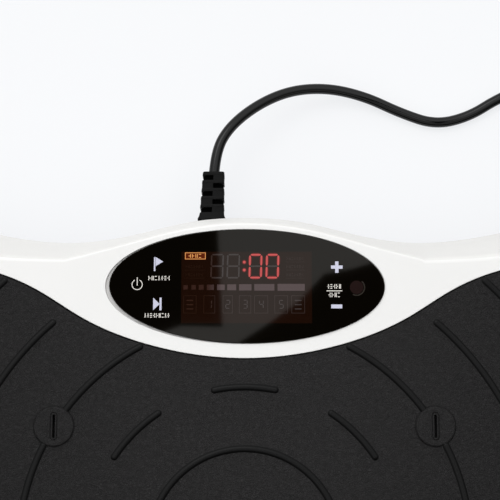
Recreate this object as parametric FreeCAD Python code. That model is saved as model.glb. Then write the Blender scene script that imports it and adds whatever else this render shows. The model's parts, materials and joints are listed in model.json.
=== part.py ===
"""Oscillating vibration plate, built from separate pieces. Units are millimetres.

The origin is on the floor under the middle of the plate. +X runs along the plate,
+Y points at the console, +Z is up. The platform rocks about an axis along Y.
"""
import FreeCAD, Part
import math
import os

V = FreeCAD.Vector

# ---------------------------------------------------------------- driving dimensions
half_length = 337.0          # skirt, along X
half_width = 191.5           # skirt at its lobes, along Y
mat_top_z = 129.0            # walking surface
ridge_height = 1.0           # relief of the mat's rings
rim_z = 127.8                # white top face round the mat
skirt_z = 45.0               # lower edge of the upper shell
ceiling_z = 121.5            # underside of the upper shell's top
shell_wall = 3.2
mat_floor_z = 124.6          # bottom of the mat's recess

crease_half_length = 311.0   # upper edge of the skirt wall
crease_half_width = 161.5
saddle_x = 100.0             # where the console bulge meets the lobes, at the skirt
saddle_y = 175.5
valley_x = 97.0              # the same corner at the crease
valley_y = 152.0

mat_half_length = 302.0
mat_half_width = 150.5
ring_radii = (118.0, 155.5, 190.0, 225.0, 260.0)
centre_ring_radius = 50.0
dash_ring_radius = 82.5
dash_half_angle = 12.5
ridge_width = 3.0
ridge_margin = 2.5           # the rings stop this far inside the mat's edge
marker_x = 100.6
marker_y = 62.0
marker_radius = 10.7

lens_centre_x = 1.1
lens_centre_y = 137.1
lens_half_length = 74.0
lens_half_width = 30.65
lens_thickness = 3.6
lens_top_z = 128.6           # stands a little proud of the rim
fit_gap = 0.2                # lens and mat in their recesses

foot_height = 12.0
floor_top_z = 15.5           # top of the lower shell's floor
base_plate_top_z = 18.5
lower_wall_top_z = 58.0
lower_inset_x = 16.0         # lower shell inside the skirt, room for the rocking
lower_inset_y = 13.5

plate_bottom_z = 118.5       # steel plate of the platform
pivot_z = 84.0               # rocking axis, along Y
pivot_pin_radius = 7.0
pivot_clearance = 0.04
pivot_stations = {"front": -120.0, "back": 82.0}

shaft_y = 12.0               # drive shaft, along X
shaft_z = 52.0
shaft_radius = 9.0
eccentricity = 2.4
eccentric_radius = 17.5
rod_x = 80.0
rod_pin_z = 92.0
rod_pin_radius = 5.0
rod_eye_radius = 10.3        # open joint: the pin has room for the full stroke
running_clearance = 0.04

motor_y = -62.0
motor_z = 60.0
motor_radius = 38.0
motor_shaft_radius = 6.0
pulley_x0, pulley_x1 = 50.0, 66.0
motor_pulley_radius = 14.0
large_pulley_radius = 28.5
flange_height = 3.5
belt_thickness = 3.2
belt_gap = 0.15

relief_x = -19.2             # where the mains cord leaves
relief_z = 32.5
relief_root_y = 189.5
relief_length = 28.6
cord_radius = 3.25
cord_route = [               # from the strain relief to the coil
    (-19.2, 218.1, 32.5), (-18.3, 233.9, 32.3), (-10.2, 250.0, 30.3), (7.0, 266.0, 24.0),
    (28.0, 277.5, 16.5), (52.0, 281.0, 10.0), (76.0, 276.5, 5.5), (98.0, 266.5, 3.25),
    (120.0, 258.8, 3.25), (141.5, 264.0, 3.25), (161.0, 276.5, 3.25), (191.0, 289.0, 3.25),
    (222.0, 291.0, 3.25)]
coil_x, coil_y = 222.0, 247.0
coil_inner_radius = 27.75
coil_outer_radius = 47.25
coil_height = 13.0
tail_angle = 60.0            # where the cord leaves the coil
tail_length = 42.0
tail_z = 9.75
plug_length = 38.0
plug_half_width = 17.5
plug_half_height = 12.5
pin_length = 19.0
pin_radius = 2.4
pin_spacing = 19.0

os.makedirs("parts", exist_ok=True)


# ---------------------------------------------------------------- helpers
def save(shape, node):
    """Write one piece, after making sure that it is sound."""
    if not shape.isValid() or shape.Volume <= 0:
        raise ValueError("bad solid: " + node)
    shape.exportStep("parts/" + node + ".step")


def box(x0, x1, y0, y1, z0, z1):
    return Part.makeBox(x1 - x0, y1 - y0, z1 - z0, V(x0, y0, z0))


def cylinder(start, axis, length, radius):
    return Part.makeCylinder(radius, length, V(*start), V(*axis))


def cyl_x(x0, x1, y, z, radius):
    return cylinder((x0, y, z), (1, 0, 0), x1 - x0, radius)


def cyl_y(y0, y1, x, z, radius):
    return cylinder((x, y0, z), (0, 1, 0), y1 - y0, radius)


def cyl_z(z0, z1, x, y, radius):
    return cylinder((x, y, z0), (0, 0, 1), z1 - z0, radius)


def ring_x(x0, x1, y, z, outer, inner):
    return cyl_x(x0, x1, y, z, outer).cut(cyl_x(x0 - 1, x1 + 1, y, z, inner))


def ring_z(z0, z1, x, y, outer, inner):
    return cyl_z(z0, z1, x, y, outer).cut(cyl_z(z0 - 1, z1 + 1, x, y, inner))


def group(shapes):
    """Separate solids kept in one node."""
    return Part.makeCompound(shapes)


def fuse(first, *others):
    return first.multiFuse(list(others)).removeSplitter()


def mirrored(points):
    """The left half of an outline whose right half runs from back to front."""
    return [(-x, y) for x, y in reversed(points) if x > 0]


def end_points(centre_x, length, width, exponent=2.4, steps=8):
    """The superelliptic right-hand end, from the back lobe round to the front lobe."""
    points = []
    for i in range(steps + 1):
        angle = math.pi / 2 - math.pi * i / steps
        c, s = math.cos(angle), math.sin(angle)
        x = centre_x + (length - centre_x) * abs(c) ** (2 / exponent)
        y = math.copysign(width * abs(s) ** (2 / exponent), s)
        points.append((x, y))
    return points


def at_height(points, z, scale):
    return [V(x * scale[0], y * scale[1], z) for x, y in points]


def spline(points, periodic=False, stations=None):
    """Smooth line through the points; stations are its parameters at them."""
    curve = Part.BSplineCurve()
    if stations is None:
        curve.interpolate(Points=points, PeriodicFlag=periodic)
    else:
        curve.interpolate(Points=points, PeriodicFlag=periodic, Parameters=stations)
    return curve


def inset_scale(outline_length, outline_width, inset_x, inset_y):
    return (1 - inset_x / outline_length, 1 - inset_y / outline_width)


def prism(wire, height):
    return Part.Face(wire).extrude(V(0, 0, height))


def console_ellipse(z0, z1, half_x, half_y):
    ellipse = Part.Ellipse(V(lens_centre_x, lens_centre_y, z0), half_x, half_y)
    return prism(Part.Wire([ellipse.toShape()]), z1 - z0)


def rounded_plate(x0, x1, y0, y1, z0, z1, radius):
    plate = box(x0, x1, y0, y1, z0, z1)
    upright = [e for e in plate.Edges if abs(e.Length - (z1 - z0)) < 1e-6
               and abs(e.tangentAt(e.FirstParameter).z) > 0.9]
    return plate.makeFillet(radius, upright)


# ---------------------------------------------------------------- outlines
skirt_right = ([(saddle_x, saddle_y), (150.0, 181.0)] + end_points(212.0, half_length, half_width)
               + [(150.0, -188.0), (75.0, -184.0), (0.0, -182.5)])
skirt_bulge = [(0.0, 190.5), (33.0, 188.0), (62.0, 181.2)]
crease_right = ([(valley_x, valley_y), (132.0, 153.9)]
                + end_points(205.0, crease_half_length, crease_half_width)
                + [(140.0, -158.5), (70.0, -154.0), (0.0, -152.5)])
crease_bulge = [(0.0, 171.7), (40.0, 166.8), (73.0, 157.8), (valley_x, valley_y)]
mat_right = ([(0.0, 98.0), (50.0, 104.9), (88.0, 120.2), (110.0, 133.9), (132.0, 143.7)]
             + end_points(180.0, mat_half_length, mat_half_width)
             + [(120.0, -147.5), (60.0, -143.0), (0.0, -141.5)])


lobes = skirt_right + mirrored(skirt_right)
skirt_points = lobes + mirrored(skirt_bulge) + skirt_bulge


def skirt_stations():
    """Distance along the skirt's points; the crease has the same ones, so the wall doesn't twist."""
    stations = [0.0]
    for start, end in zip(skirt_points, skirt_points[1:] + skirt_points[:1]):
        stations.append(stations[-1] + math.dist(start, end))
    return stations


def skirt_wire(z, scale=(1, 1)):
    """Smooth closed line, split at the two saddles."""
    stations = skirt_stations()
    curve = spline(at_height(skirt_points, z, scale), True, stations)
    split = stations[len(lobes) - 1]
    return Part.Wire([curve.toShape(0, split), curve.toShape(split, stations[-1])])


def crease_wire(z, scale=(1, 1)):
    """Upper edge of the wall, with a valley corner each side of the console."""
    stations = skirt_stations()
    last = len(lobes) - 1
    rest = spline(at_height(crease_right + mirrored(crease_right), z, scale), False, stations[:last + 1])
    bulge = spline(at_height(mirrored(crease_bulge) + crease_bulge, z, scale), False, stations[last:])
    return Part.Wire([rest.toShape(), bulge.toShape()])


def mat_wire(z, inset=0.0):
    scale = inset_scale(mat_half_length, mat_half_width, inset, inset)
    return Part.Wire([spline(at_height(mat_right + mirrored(mat_right), z, scale), True).toShape()])


# ---------------------------------------------------------------- upper shell and what it holds
def shell_block(scale_low, scale_high):
    return Part.makeLoft([skirt_wire(skirt_z, scale_low), crease_wire(rim_z, scale_high)], True, True)


window_half_length = 66.0    # opening under the lens, for the display
window_half_width = 24.0
gasket_thickness = 0.5
board_half_length = 66.0
board_front_y, board_back_y = 114.5, 159.5
board_bottom_z, board_top_z = 116.0, 117.6
module_x0, module_x1 = -34.0, 36.0
module_top_z = 124.4
infrared_x = 60.0
board_screw_radius = 1.25
board_boss_radius = 3.5
board_screw_spots = [(sx * 56.0, lens_centre_y + sy * 18.0) for sx in (-1, 1) for sy in (-1, 1)]
touch_spots = [(-57.9, 0.9), (-46.8, 6.0), (-46.8, -11.0), (49.0, 9.5), (49.0, -9.5)]
shell_screw_spots = [(sx * x, y) for sx in (-1, 1) for x, y in
                     ((110.0, 84.0), (200.0, 70.0), (200.0, -100.0), (70.0, -118.0))]
screw_radius = 2.4
head_radius = 4.6
head_height = 2.4
slot_half_width = 2.05       # slot in each of the mat's discs
slot_half_length = 7.2
slot_depth = 0.6


def countersunk(x, y, top_z, tip_z, grow=0.0):
    """Screw with a flush head; grow makes the hole that it sits in."""
    cone = Part.makeCone(screw_radius + grow, head_radius + grow, head_height, V(x, y, top_z - head_height))
    return fuse(cone, cyl_z(tip_z - grow, top_z - head_height / 2, x, y, screw_radius + grow))


def upper_shell():
    outer = shell_block((1, 1), (1, 1))
    low = inset_scale(half_length, half_width, shell_wall, shell_wall)
    high = inset_scale(crease_half_length, crease_half_width, shell_wall, shell_wall)
    hollow = shell_block(low, high).common(box(-400, 400, -400, 400, 0, ceiling_z))
    below = prism(skirt_wire(skirt_z - 1, low), 1.5)
    shell = outer.cut(hollow).cut(below)
    shell = shell.cut(prism(mat_wire(mat_floor_z, -fit_gap), 10))
    recess_z = lens_top_z - lens_thickness - gasket_thickness
    shell = shell.cut(console_ellipse(recess_z, rim_z + 1, lens_half_length + fit_gap,
                                      lens_half_width + fit_gap))
    shell = shell.cut(console_ellipse(ceiling_z - 1, rim_z, window_half_length, window_half_width))
    bosses = [cyl_z(board_top_z, ceiling_z + 0.5, x, y, board_boss_radius) for x, y in board_screw_spots]
    shell = fuse(shell, *bosses)
    for x, y in board_screw_spots:
        shell = shell.cut(cyl_z(board_top_z - 1, ceiling_z + 1.5, x, y, board_screw_radius))
    for x, y in shell_screw_spots:
        shell = shell.cut(countersunk(x, y, mat_floor_z, ceiling_z - 3, 0.1))
    return shell


def mat_ridges():
    """Raised rings and dashes; they reach down into the sheet by their own height."""
    z0 = mat_top_z - ridge_height
    height = 2 * ridge_height
    field = prism(mat_wire(z0, ridge_margin), height)
    half = ridge_width / 2
    centre = ring_z(z0, z0 + height, 0, 0, centre_ring_radius + half, centre_ring_radius - half)
    rings = [ring_z(z0, z0 + height, 0, 0, r + half, r - half).common(field) for r in ring_radii]
    dashes = []
    for i in range(8):
        start = 45 * i - dash_half_angle
        outer = Part.makeCylinder(dash_ring_radius + half, height, V(0, 0, z0), V(0, 0, 1),
                                  2 * dash_half_angle)
        inner = Part.makeCylinder(dash_ring_radius - half, height, V(0, 0, z0), V(0, 0, 1), 360)
        dash = outer.cut(inner)
        dash.rotate(V(0, 0, 0), V(0, 0, 1), start)
        dashes.append(dash)
    return centre, rings, dashes


def marker_spots():
    return [(sx * marker_x, sy * marker_y) for sx in (-1, 1) for sy in (-1, 1)]


def mat():
    sheet = prism(mat_wire(mat_floor_z), mat_top_z - mat_floor_z)
    centre, rings, dashes = mat_ridges()
    z0 = mat_top_z - ridge_height
    for x, y in marker_spots():
        around = cyl_z(z0, z0 + 3 * ridge_height, x, y, marker_radius + 1.2)
        rings[0] = rings[0].cut(around)
    markers = [cyl_z(z0, mat_top_z + ridge_height, x, y, marker_radius) for x, y in marker_spots()]
    sheet = fuse(sheet, centre, *(rings + dashes + markers))
    for x, y in marker_spots():
        slot = rounded_plate(x - slot_half_width, x + slot_half_width, y - slot_half_length,
                             y + slot_half_length, mat_top_z - slot_depth, mat_top_z + 2, 2.0)
        sheet = sheet.cut(slot)
    return sheet


def console_lens():
    return console_ellipse(lens_top_z - lens_thickness, lens_top_z, lens_half_length, lens_half_width)


def console_gasket():
    z0 = lens_top_z - lens_thickness - gasket_thickness
    outer = console_ellipse(z0, z0 + gasket_thickness, lens_half_length, lens_half_width)
    return outer.cut(console_ellipse(z0 - 1, z0 + 1, window_half_length + 0.5, window_half_width + 0.5))


def display_board():
    board = rounded_plate(-board_half_length, board_half_length, board_front_y, board_back_y,
                          board_bottom_z, board_top_z, 4)
    for x, y in board_screw_spots:
        board = board.cut(cyl_z(board_bottom_z - 1, board_top_z + 1, x, y, 1.6))
    return board


def display_module():
    """Case with two shallow wells, for the digits and for the bars below them."""
    case = rounded_plate(module_x0, module_x1, lens_centre_y - 20, lens_centre_y + 18, board_top_z,
                         module_top_z, 1.5)
    well_x0, well_x1, well_z = module_x0 + 2, module_x1 - 2, module_top_z - 0.8
    digits = box(well_x0, well_x1, lens_centre_y + 3, lens_centre_y + 17, well_z, module_top_z + 1)
    bars = box(well_x0, well_x1, lens_centre_y - 16, lens_centre_y + 1.5, well_z, module_top_z + 1)
    return case.cut(digits).cut(bars)


def infrared_receiver():
    """Round can with one flat side."""
    body = cyl_z(board_top_z, module_top_z, infrared_x, lens_centre_y - 1, 3.6)
    return body.cut(box(infrared_x - 5, infrared_x + 5, lens_centre_y - 10, lens_centre_y - 3.4, 0, rim_z))


def touch_springs():
    springs = []
    for x, y in touch_spots:
        springs.append(ring_z(board_top_z, lens_top_z - lens_thickness, x, lens_centre_y + y, 3.0, 2.2))
    return group(springs)


def board_screws():
    screws = []
    for x, y in board_screw_spots:
        head = cyl_z(board_bottom_z - 2.0, board_bottom_z, x, y, 2.8)
        shank = cyl_z(board_bottom_z - 1, board_bottom_z + 5.5, x, y, board_screw_radius)
        screws.append(fuse(head, shank))
    return group(screws)


def shell_screws():
    return group([countersunk(x, y, mat_floor_z, plate_bottom_z - 2) for x, y in shell_screw_spots])


# ---------------------------------------------------------------- platform steelwork
top_plate_x, top_plate_y0, top_plate_y1 = 262.0, -132.0, 102.0
top_plate_corner = 30.0
weld_foot = 3.0              # thickness of the feet under the plate
cheek_inner, cheek_outer = 9.0, 12.0
cheek_half = 13.0
lug_half = 6.0
lug_radius = 14.0
bush_radius = 10.0


def platform_plate():
    plate = rounded_plate(-top_plate_x, top_plate_x, top_plate_y0, top_plate_y1, plate_bottom_z,
                          ceiling_z, top_plate_corner)
    for x, y in shell_screw_spots:
        plate = plate.cut(cyl_z(plate_bottom_z - 1, ceiling_z + 1, x, y, screw_radius + 0.1))
    return plate


def rod_bracket(side):
    """Clevis welded under the plate."""
    x = side * rod_x
    foot = box(x - 24, x + 24, shaft_y - 18, shaft_y + 18, plate_bottom_z - weld_foot, plate_bottom_z)
    cheeks = []
    for sx in (-1, 1):
        x0, x1 = sorted((x + sx * cheek_inner, x + sx * cheek_outer))
        cheek = box(x0, x1, shaft_y - cheek_half, shaft_y + cheek_half, rod_pin_z,
                    plate_bottom_z - weld_foot)
        cheeks.append(cheek.fuse(cyl_x(x0, x1, shaft_y, rod_pin_z, cheek_half)))
    bracket = fuse(foot, *cheeks)
    return bracket.cut(cyl_x(x - 30, x + 30, shaft_y, rod_pin_z, rod_pin_radius))


def rod_pins():
    """Pins with a head on the outer side."""
    pins = []
    for side in (-1, 1):
        x = side * rod_x
        pin = cyl_x(x - cheek_outer - 1, x + cheek_outer + 1, shaft_y, rod_pin_z, rod_pin_radius)
        head_x = sorted((x + side * cheek_outer, x + side * (cheek_outer + 4)))
        pins.append(fuse(pin, cyl_x(*head_x, shaft_y, rod_pin_z, rod_pin_radius + 3)))
    return group(pins)


def pivot_lug(centre_y):
    y0, y1 = centre_y - lug_half, centre_y + lug_half
    upright = box(-lug_radius, lug_radius, y0, y1, pivot_z, plate_bottom_z)
    eye = cyl_y(y0, y1, 0, pivot_z, lug_radius)
    foot = box(-30, 30, centre_y - 16, centre_y + 16, plate_bottom_z - weld_foot, plate_bottom_z)
    lug = fuse(upright, eye, foot)
    return lug.cut(cyl_y(centre_y - 20, centre_y + 20, 0, pivot_z, bush_radius))


def pivot_bushes():
    bushes = []
    for centre_y in pivot_stations.values():
        sleeve = cyl_y(centre_y - lug_half - 1, centre_y + lug_half + 1, 0, pivot_z, bush_radius)
        bore = cyl_y(centre_y - 20, centre_y + 20, 0, pivot_z, pivot_pin_radius + pivot_clearance)
        bushes.append(sleeve.cut(bore))
    return group(bushes)


# ---------------------------------------------------------------- base
foot_spots = [(sx * 240.0, sy * 105.0) for sx in (-1, 1) for sy in (-1, 1)]
buffer_spots = [(sx * 225.0, sy * 70.0) for sx in (-1, 1) for sy in (-1, 1)]
plate_x, plate_y0, plate_y1 = 270.0, -142.0, 132.0
bolt_radius = 2.5
bolt_gap = 0.1
foot_low_radius, foot_high_radius = 19.0, 16.0
foot_recess_radius, foot_recess_depth = 8.0, 4.0
tray_wall = 3.0
entry_half_width = 12.0      # boss in the lower shell round the cord
entry_back_y = 172.0
cord_hole_radius = 5.5
pillow_x = 101.0
pillow_half = 7.0
pillow_foot = 12.0
cradle_foot = 5.0
bearing_radius = 16.0
ear_thickness = 3.0
ear_radius = 16.0
post_top_z = 94.0
buffer_height = 16.0


def bolt(x, y, seat_z, tip_z):
    head = cyl_z(seat_z, seat_z + 3.5, x, y, 4.5)
    return fuse(head, cyl_z(tip_z, seat_z + 1, x, y, bolt_radius))


def drill(shape, spots, z0, z1, radius=bolt_radius + bolt_gap):
    for x, y in spots:
        shape = shape.cut(cyl_z(z0, z1, x, y, radius))
    return shape


pillow_bolt_spots = [(sx * pillow_x, shaft_y + sy * 25.0) for sx in (-1, 1) for sy in (-1, 1)]
cradle_centres = (-42.0, 18.0)
cradle_bolt_spots = [(x, motor_y + sy * 37.0) for x in cradle_centres for sy in (-1, 1)]
pivot_bolt_spots = [(sx * 30.0, y) for sx in (-1, 1) for y in pivot_stations.values()]
frame_bolt_spots = pillow_bolt_spots + cradle_bolt_spots + pivot_bolt_spots


def lower_shell():
    scale = inset_scale(half_length, half_width, lower_inset_x, lower_inset_y)
    inner = inset_scale(half_length, half_width, lower_inset_x + tray_wall, lower_inset_y + tray_wall)
    hollow = prism(skirt_wire(floor_top_z, inner), lower_wall_top_z)
    tray = prism(skirt_wire(foot_height, scale), lower_wall_top_z - foot_height).cut(hollow)
    boss = box(relief_x - entry_half_width, relief_x + entry_half_width, entry_back_y, relief_root_y,
               foot_height, skirt_z - 2.5)
    tray = fuse(tray, boss.cut(hollow))
    tray = tray.cut(cyl_y(entry_back_y - 20, relief_root_y + 10, relief_x, relief_z, cord_hole_radius))
    return drill(tray, foot_spots, 0, base_plate_top_z)


def base_plate():
    plate = rounded_plate(-plate_x, plate_x, plate_y0, plate_y1, floor_top_z, base_plate_top_z, 20)
    return drill(plate, foot_spots + frame_bolt_spots, 0, base_plate_top_z + 1)


def rubber_feet():
    feet = []
    for x, y in foot_spots:
        foot = Part.makeCone(foot_low_radius, foot_high_radius, foot_height, V(x, y, 0))
        foot = foot.cut(cyl_z(-1, foot_recess_depth, x, y, foot_recess_radius))
        feet.append(foot.cut(cyl_z(0, foot_height + 1, x, y, bolt_radius + bolt_gap)))
    return group(feet)


nut_radius, nut_height = 5.0, 4.0


def foot_screws():
    screws = []
    for x, y in foot_spots:
        washer_head = cyl_z(foot_recess_depth - 3, foot_recess_depth, x, y, 6.0)
        tip_z = base_plate_top_z + nut_height + 1.5
        screws.append(fuse(washer_head, cyl_z(foot_recess_depth - 1, tip_z, x, y, bolt_radius)))
    return screws


def foot_nuts():
    nuts = []
    for x, y in foot_spots:
        corners = []
        for i in range(7):
            angle = math.radians(60 * i)
            corners.append(V(x + nut_radius * math.cos(angle), y + nut_radius * math.sin(angle),
                             base_plate_top_z))
        nut = prism(Part.makePolygon(corners), nut_height)
        nuts.append(nut.cut(cyl_z(0, base_plate_top_z + nut_height + 1, x, y, bolt_radius)))
    return nuts


def frame_bolts():
    bolts = [bolt(x, y, base_plate_top_z + pillow_foot, floor_top_z) for x, y in pillow_bolt_spots]
    bolts += [bolt(x, y, base_plate_top_z + cradle_foot, floor_top_z) for x, y in cradle_bolt_spots]
    bolts += [bolt(x, y, base_plate_top_z + ear_thickness, floor_top_z) for x, y in pivot_bolt_spots]
    return group(bolts)


def pillow_blocks():
    blocks = []
    for side in (-1, 1):
        x0, x1 = side * pillow_x - pillow_half, side * pillow_x + pillow_half
        foot = box(x0, x1, shaft_y - 32, shaft_y + 32, base_plate_top_z, base_plate_top_z + pillow_foot)
        web = box(x0, x1, shaft_y - 17, shaft_y + 17, base_plate_top_z, shaft_z)
        head = cyl_x(x0, x1, shaft_y, shaft_z, 21)
        block = fuse(foot, web, head).cut(cyl_x(x0 - 1, x1 + 1, shaft_y, shaft_z, bearing_radius))
        blocks.append(block)
    return drill(group(blocks), pillow_bolt_spots, 0, base_plate_top_z + pillow_foot + 1)


def shaft_bearings():
    half = pillow_half - 1
    inner = shaft_radius + running_clearance
    return group([ring_x(side * pillow_x - half, side * pillow_x + half, shaft_y, shaft_z,
                         bearing_radius, inner) for side in (-1, 1)])


def pivot_bracket(centre_y):
    """Folded foot with two ears that hold the pin."""
    front, back = centre_y - 12, centre_y + 12
    foot = box(-38, 38, front, back, base_plate_top_z, base_plate_top_z + ear_thickness)
    ears = []
    for y0 in (front, back - ear_thickness):
        ear = box(-20, 20, y0, y0 + ear_thickness, base_plate_top_z, pivot_z)
        ears.append(ear.fuse(cyl_y(y0, y0 + ear_thickness, 0, pivot_z, ear_radius)))
    bracket = fuse(foot, *ears).cut(cyl_y(centre_y - 20, centre_y + 20, 0, pivot_z, pivot_pin_radius))
    return drill(bracket, [s for s in pivot_bolt_spots if s[1] == centre_y], 0, 30)


def pivot_pins():
    pins = []
    for centre_y in pivot_stations.values():
        pin = cyl_y(centre_y - 14, centre_y + 14, 0, pivot_z, pivot_pin_radius)
        head = cyl_y(centre_y + 12, centre_y + 16, 0, pivot_z, 10)
        pins.append(fuse(pin, head))
    return group(pins)


def buffer_posts():
    posts = []
    for x, y in buffer_spots:
        flange = cyl_z(base_plate_top_z, base_plate_top_z + 3, x, y, 18)
        posts.append(fuse(flange, cyl_z(base_plate_top_z, post_top_z, x, y, 12)))
    return group(posts)


def rubber_buffers():
    return group([Part.makeCone(14, 10, buffer_height, V(x, y, post_top_z)) for x, y in buffer_spots])


# ---------------------------------------------------------------- motor, belt and drive
motor_x0, motor_x1 = -58.0, 34.0
can_wall = 2.0
winding_length = 14.0        # each end of the motor, beyond its iron core
stator_bore = 24.0
rotor_radius = 23.5
slot_count = 12
slot_circle, slot_radius = 28.0, 2.6
cap_width = 9.0
motor_bearing_radius = 13.0
core_x0, core_x1 = motor_x0 + winding_length, motor_x1 - winding_length


def motor_can():
    return ring_x(motor_x0, motor_x1, motor_y, motor_z, motor_radius, motor_radius - can_wall)


def stator_core():
    core = ring_x(core_x0, core_x1, motor_y, motor_z, motor_radius - can_wall, stator_bore)
    for i in range(slot_count):
        angle = 2 * math.pi * i / slot_count
        slot = cyl_x(motor_x0, motor_x1, motor_y + slot_circle * math.cos(angle),
                     motor_z + slot_circle * math.sin(angle), slot_radius)
        core = core.cut(slot)
    return core


def stator_windings():
    coils = []
    for x0, x1 in ((motor_x0 + 3, core_x0), (core_x1, motor_x1 - 3)):
        coils.append(ring_x(x0, x1, motor_y, motor_z, 33.5, 25))
    return group(coils)


def motor_end_caps():
    caps = []
    for x0, x1 in ((motor_x0 - cap_width, motor_x0), (motor_x1, motor_x1 + cap_width)):
        caps.append(ring_x(x0, x1, motor_y, motor_z, motor_radius, motor_bearing_radius))
    return group(caps)


def motor_bearings():
    bearings = []
    for x0 in (motor_x0 - cap_width + 1, motor_x1 + 1):
        bearings.append(ring_x(x0, x0 + 7, motor_y, motor_z, motor_bearing_radius,
                               motor_shaft_radius + running_clearance))
    return group(bearings)


def motor_cradle():
    saddles = []
    for x in cradle_centres:
        block = box(x - 6, x + 6, motor_y - 30, motor_y + 30, base_plate_top_z, 44)
        foot = box(x - 6, x + 6, motor_y - 43, motor_y + 43, base_plate_top_z,
                   base_plate_top_z + cradle_foot)
        saddle = fuse(block, foot).cut(cyl_x(x - 10, x + 10, motor_y, motor_z, motor_radius))
        saddles.append(saddle)
    return drill(group(saddles), cradle_bolt_spots, 0, 30)


def motor_shaft():
    return cyl_x(motor_x0 - cap_width - 3, pulley_x1 + 3, motor_y, motor_z, motor_shaft_radius)


def rotor_core():
    return ring_x(core_x0, core_x1, motor_y, motor_z, rotor_radius, motor_shaft_radius)


flange_width = 1.5
hole_count = 5
hole_circle, hole_radius = 18.5, 5.0


def pulley(y, z, groove_radius, bore):
    body = cyl_x(pulley_x0, pulley_x1, y, z, groove_radius)
    rims = [cyl_x(x, x + flange_width, y, z, groove_radius + flange_height)
            for x in (pulley_x0, pulley_x1 - flange_width)]
    return fuse(body, *rims).cut(cyl_x(pulley_x0 - 1, pulley_x1 + 1, y, z, bore))


def large_pulley():
    """The driven pulley has lightening holes."""
    wheel = pulley(shaft_y, shaft_z, large_pulley_radius, shaft_radius)
    for i in range(hole_count):
        angle = 2 * math.pi * i / hole_count
        wheel = wheel.cut(cyl_x(pulley_x0 - 1, pulley_x1 + 1, shaft_y + hole_circle * math.cos(angle),
                                shaft_z + hole_circle * math.sin(angle), hole_radius))
    return wheel


def tangent_loop(x, first_radius, second_radius):
    """Face of a loop stretched round the two pulleys' centres."""
    first = V(x, motor_y, motor_z)
    second = V(x, shaft_y, shaft_z)
    span = second.sub(first)
    reach = span.Length
    along = span.multiply(1 / reach)
    across = V(0, -along.z, along.y)
    spread = math.acos((first_radius - second_radius) / reach)

    def on_circle(centre, radius, angle):
        return centre + along * (radius * math.cos(angle)) + across * (radius * math.sin(angle))

    a1 = on_circle(first, first_radius, spread)
    a2 = on_circle(first, first_radius, -spread)
    b1 = on_circle(second, second_radius, spread)
    b2 = on_circle(second, second_radius, -spread)
    edges = [Part.Arc(a2, on_circle(first, first_radius, math.pi), a1).toShape(),
             Part.LineSegment(a1, b1).toShape(),
             Part.Arc(b1, on_circle(second, second_radius, 0), b2).toShape(),
             Part.LineSegment(b2, a2).toShape()]
    return Part.Face(Part.Wire(edges))


def drive_belt():
    x0, x1 = pulley_x0 + flange_width + 0.5, pulley_x1 - flange_width - 0.5
    small, large = motor_pulley_radius + belt_gap, large_pulley_radius + belt_gap
    outside = tangent_loop(x0, small + belt_thickness, large + belt_thickness)
    inside = tangent_loop(x0, small, large)
    return outside.cut(inside).extrude(V(x1 - x0, 0, 0))


def drive_shaft():
    half = pillow_x + pillow_half + 4
    return cyl_x(-half, half, shaft_y, shaft_z, shaft_radius)


def eccentric(side):
    x = side * rod_x
    disc = cyl_x(x - 8, x + 8, shaft_y + side * eccentricity, shaft_z, eccentric_radius)
    return disc.cut(cyl_x(x - 10, x + 10, shaft_y, shaft_z, shaft_radius))


rod_bearing_radius = 21.5
rod_half = 7.0
rod_big_end, rod_small_end = 25.0, 16.0
rod_ring_half = 6.5
bush_outer_radius = 13.2


def connecting_rod(side):
    x, y = side * rod_x, shaft_y + side * eccentricity
    x0, x1 = x - rod_half, x + rod_half
    big_end = cyl_x(x0, x1, y, shaft_z, rod_big_end)
    small_end = cyl_x(x0, x1, y, rod_pin_z, rod_small_end)
    shank = box(x0, x1, y - 12, y + 12, shaft_z + 15, rod_pin_z - 8)
    rod = fuse(big_end, small_end, shank)
    rod = rod.cut(cyl_x(x0 - 1, x1 + 1, y, shaft_z, rod_bearing_radius))
    return rod.cut(cyl_x(x0 - 1, x1 + 1, y, rod_pin_z, bush_outer_radius))


def rod_bearing(side):
    x, y = side * rod_x, shaft_y + side * eccentricity
    return ring_x(x - rod_ring_half, x + rod_ring_half, y, shaft_z, rod_bearing_radius,
                  eccentric_radius + running_clearance)


def rod_bush(side):
    x, y = side * rod_x, shaft_y + side * eccentricity
    return ring_x(x - rod_ring_half, x + rod_ring_half, y, rod_pin_z, bush_outer_radius, rod_eye_radius)


# ---------------------------------------------------------------- electrics
board_x0, board_x1, board_y0, board_y1 = -236.0, -128.0, -50.0, 52.0
control_board_z = 26.5
board_thickness = 1.6
board_post_spots = [(x, y) for x in (board_x0 + 6, board_x1 - 6) for y in (board_y0 + 6, board_y1 - 6)]


def control_board():
    return rounded_plate(board_x0, board_x1, board_y0, board_y1, control_board_z,
                         control_board_z + board_thickness, 2)


def board_posts():
    return group([cyl_z(base_plate_top_z, control_board_z, x, y, 3.5) for x, y in board_post_spots])


def heat_sink():
    x0, y0, y1, z0 = -190.0, -38.0, 20.0, control_board_z + board_thickness
    base_height, fin_height, fin_pitch, fin_width = 4.0, 20.0, 4.0, 1.6
    base = box(x0, x0 + 30, y0, y1, z0, z0 + base_height)
    fins = []
    for i in range(8):
        fin_x = x0 + fin_pitch * i
        fins.append(box(fin_x, fin_x + fin_width, y0, y1, z0 + base_height, z0 + base_height + fin_height))
    return fuse(base, *fins)


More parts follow.
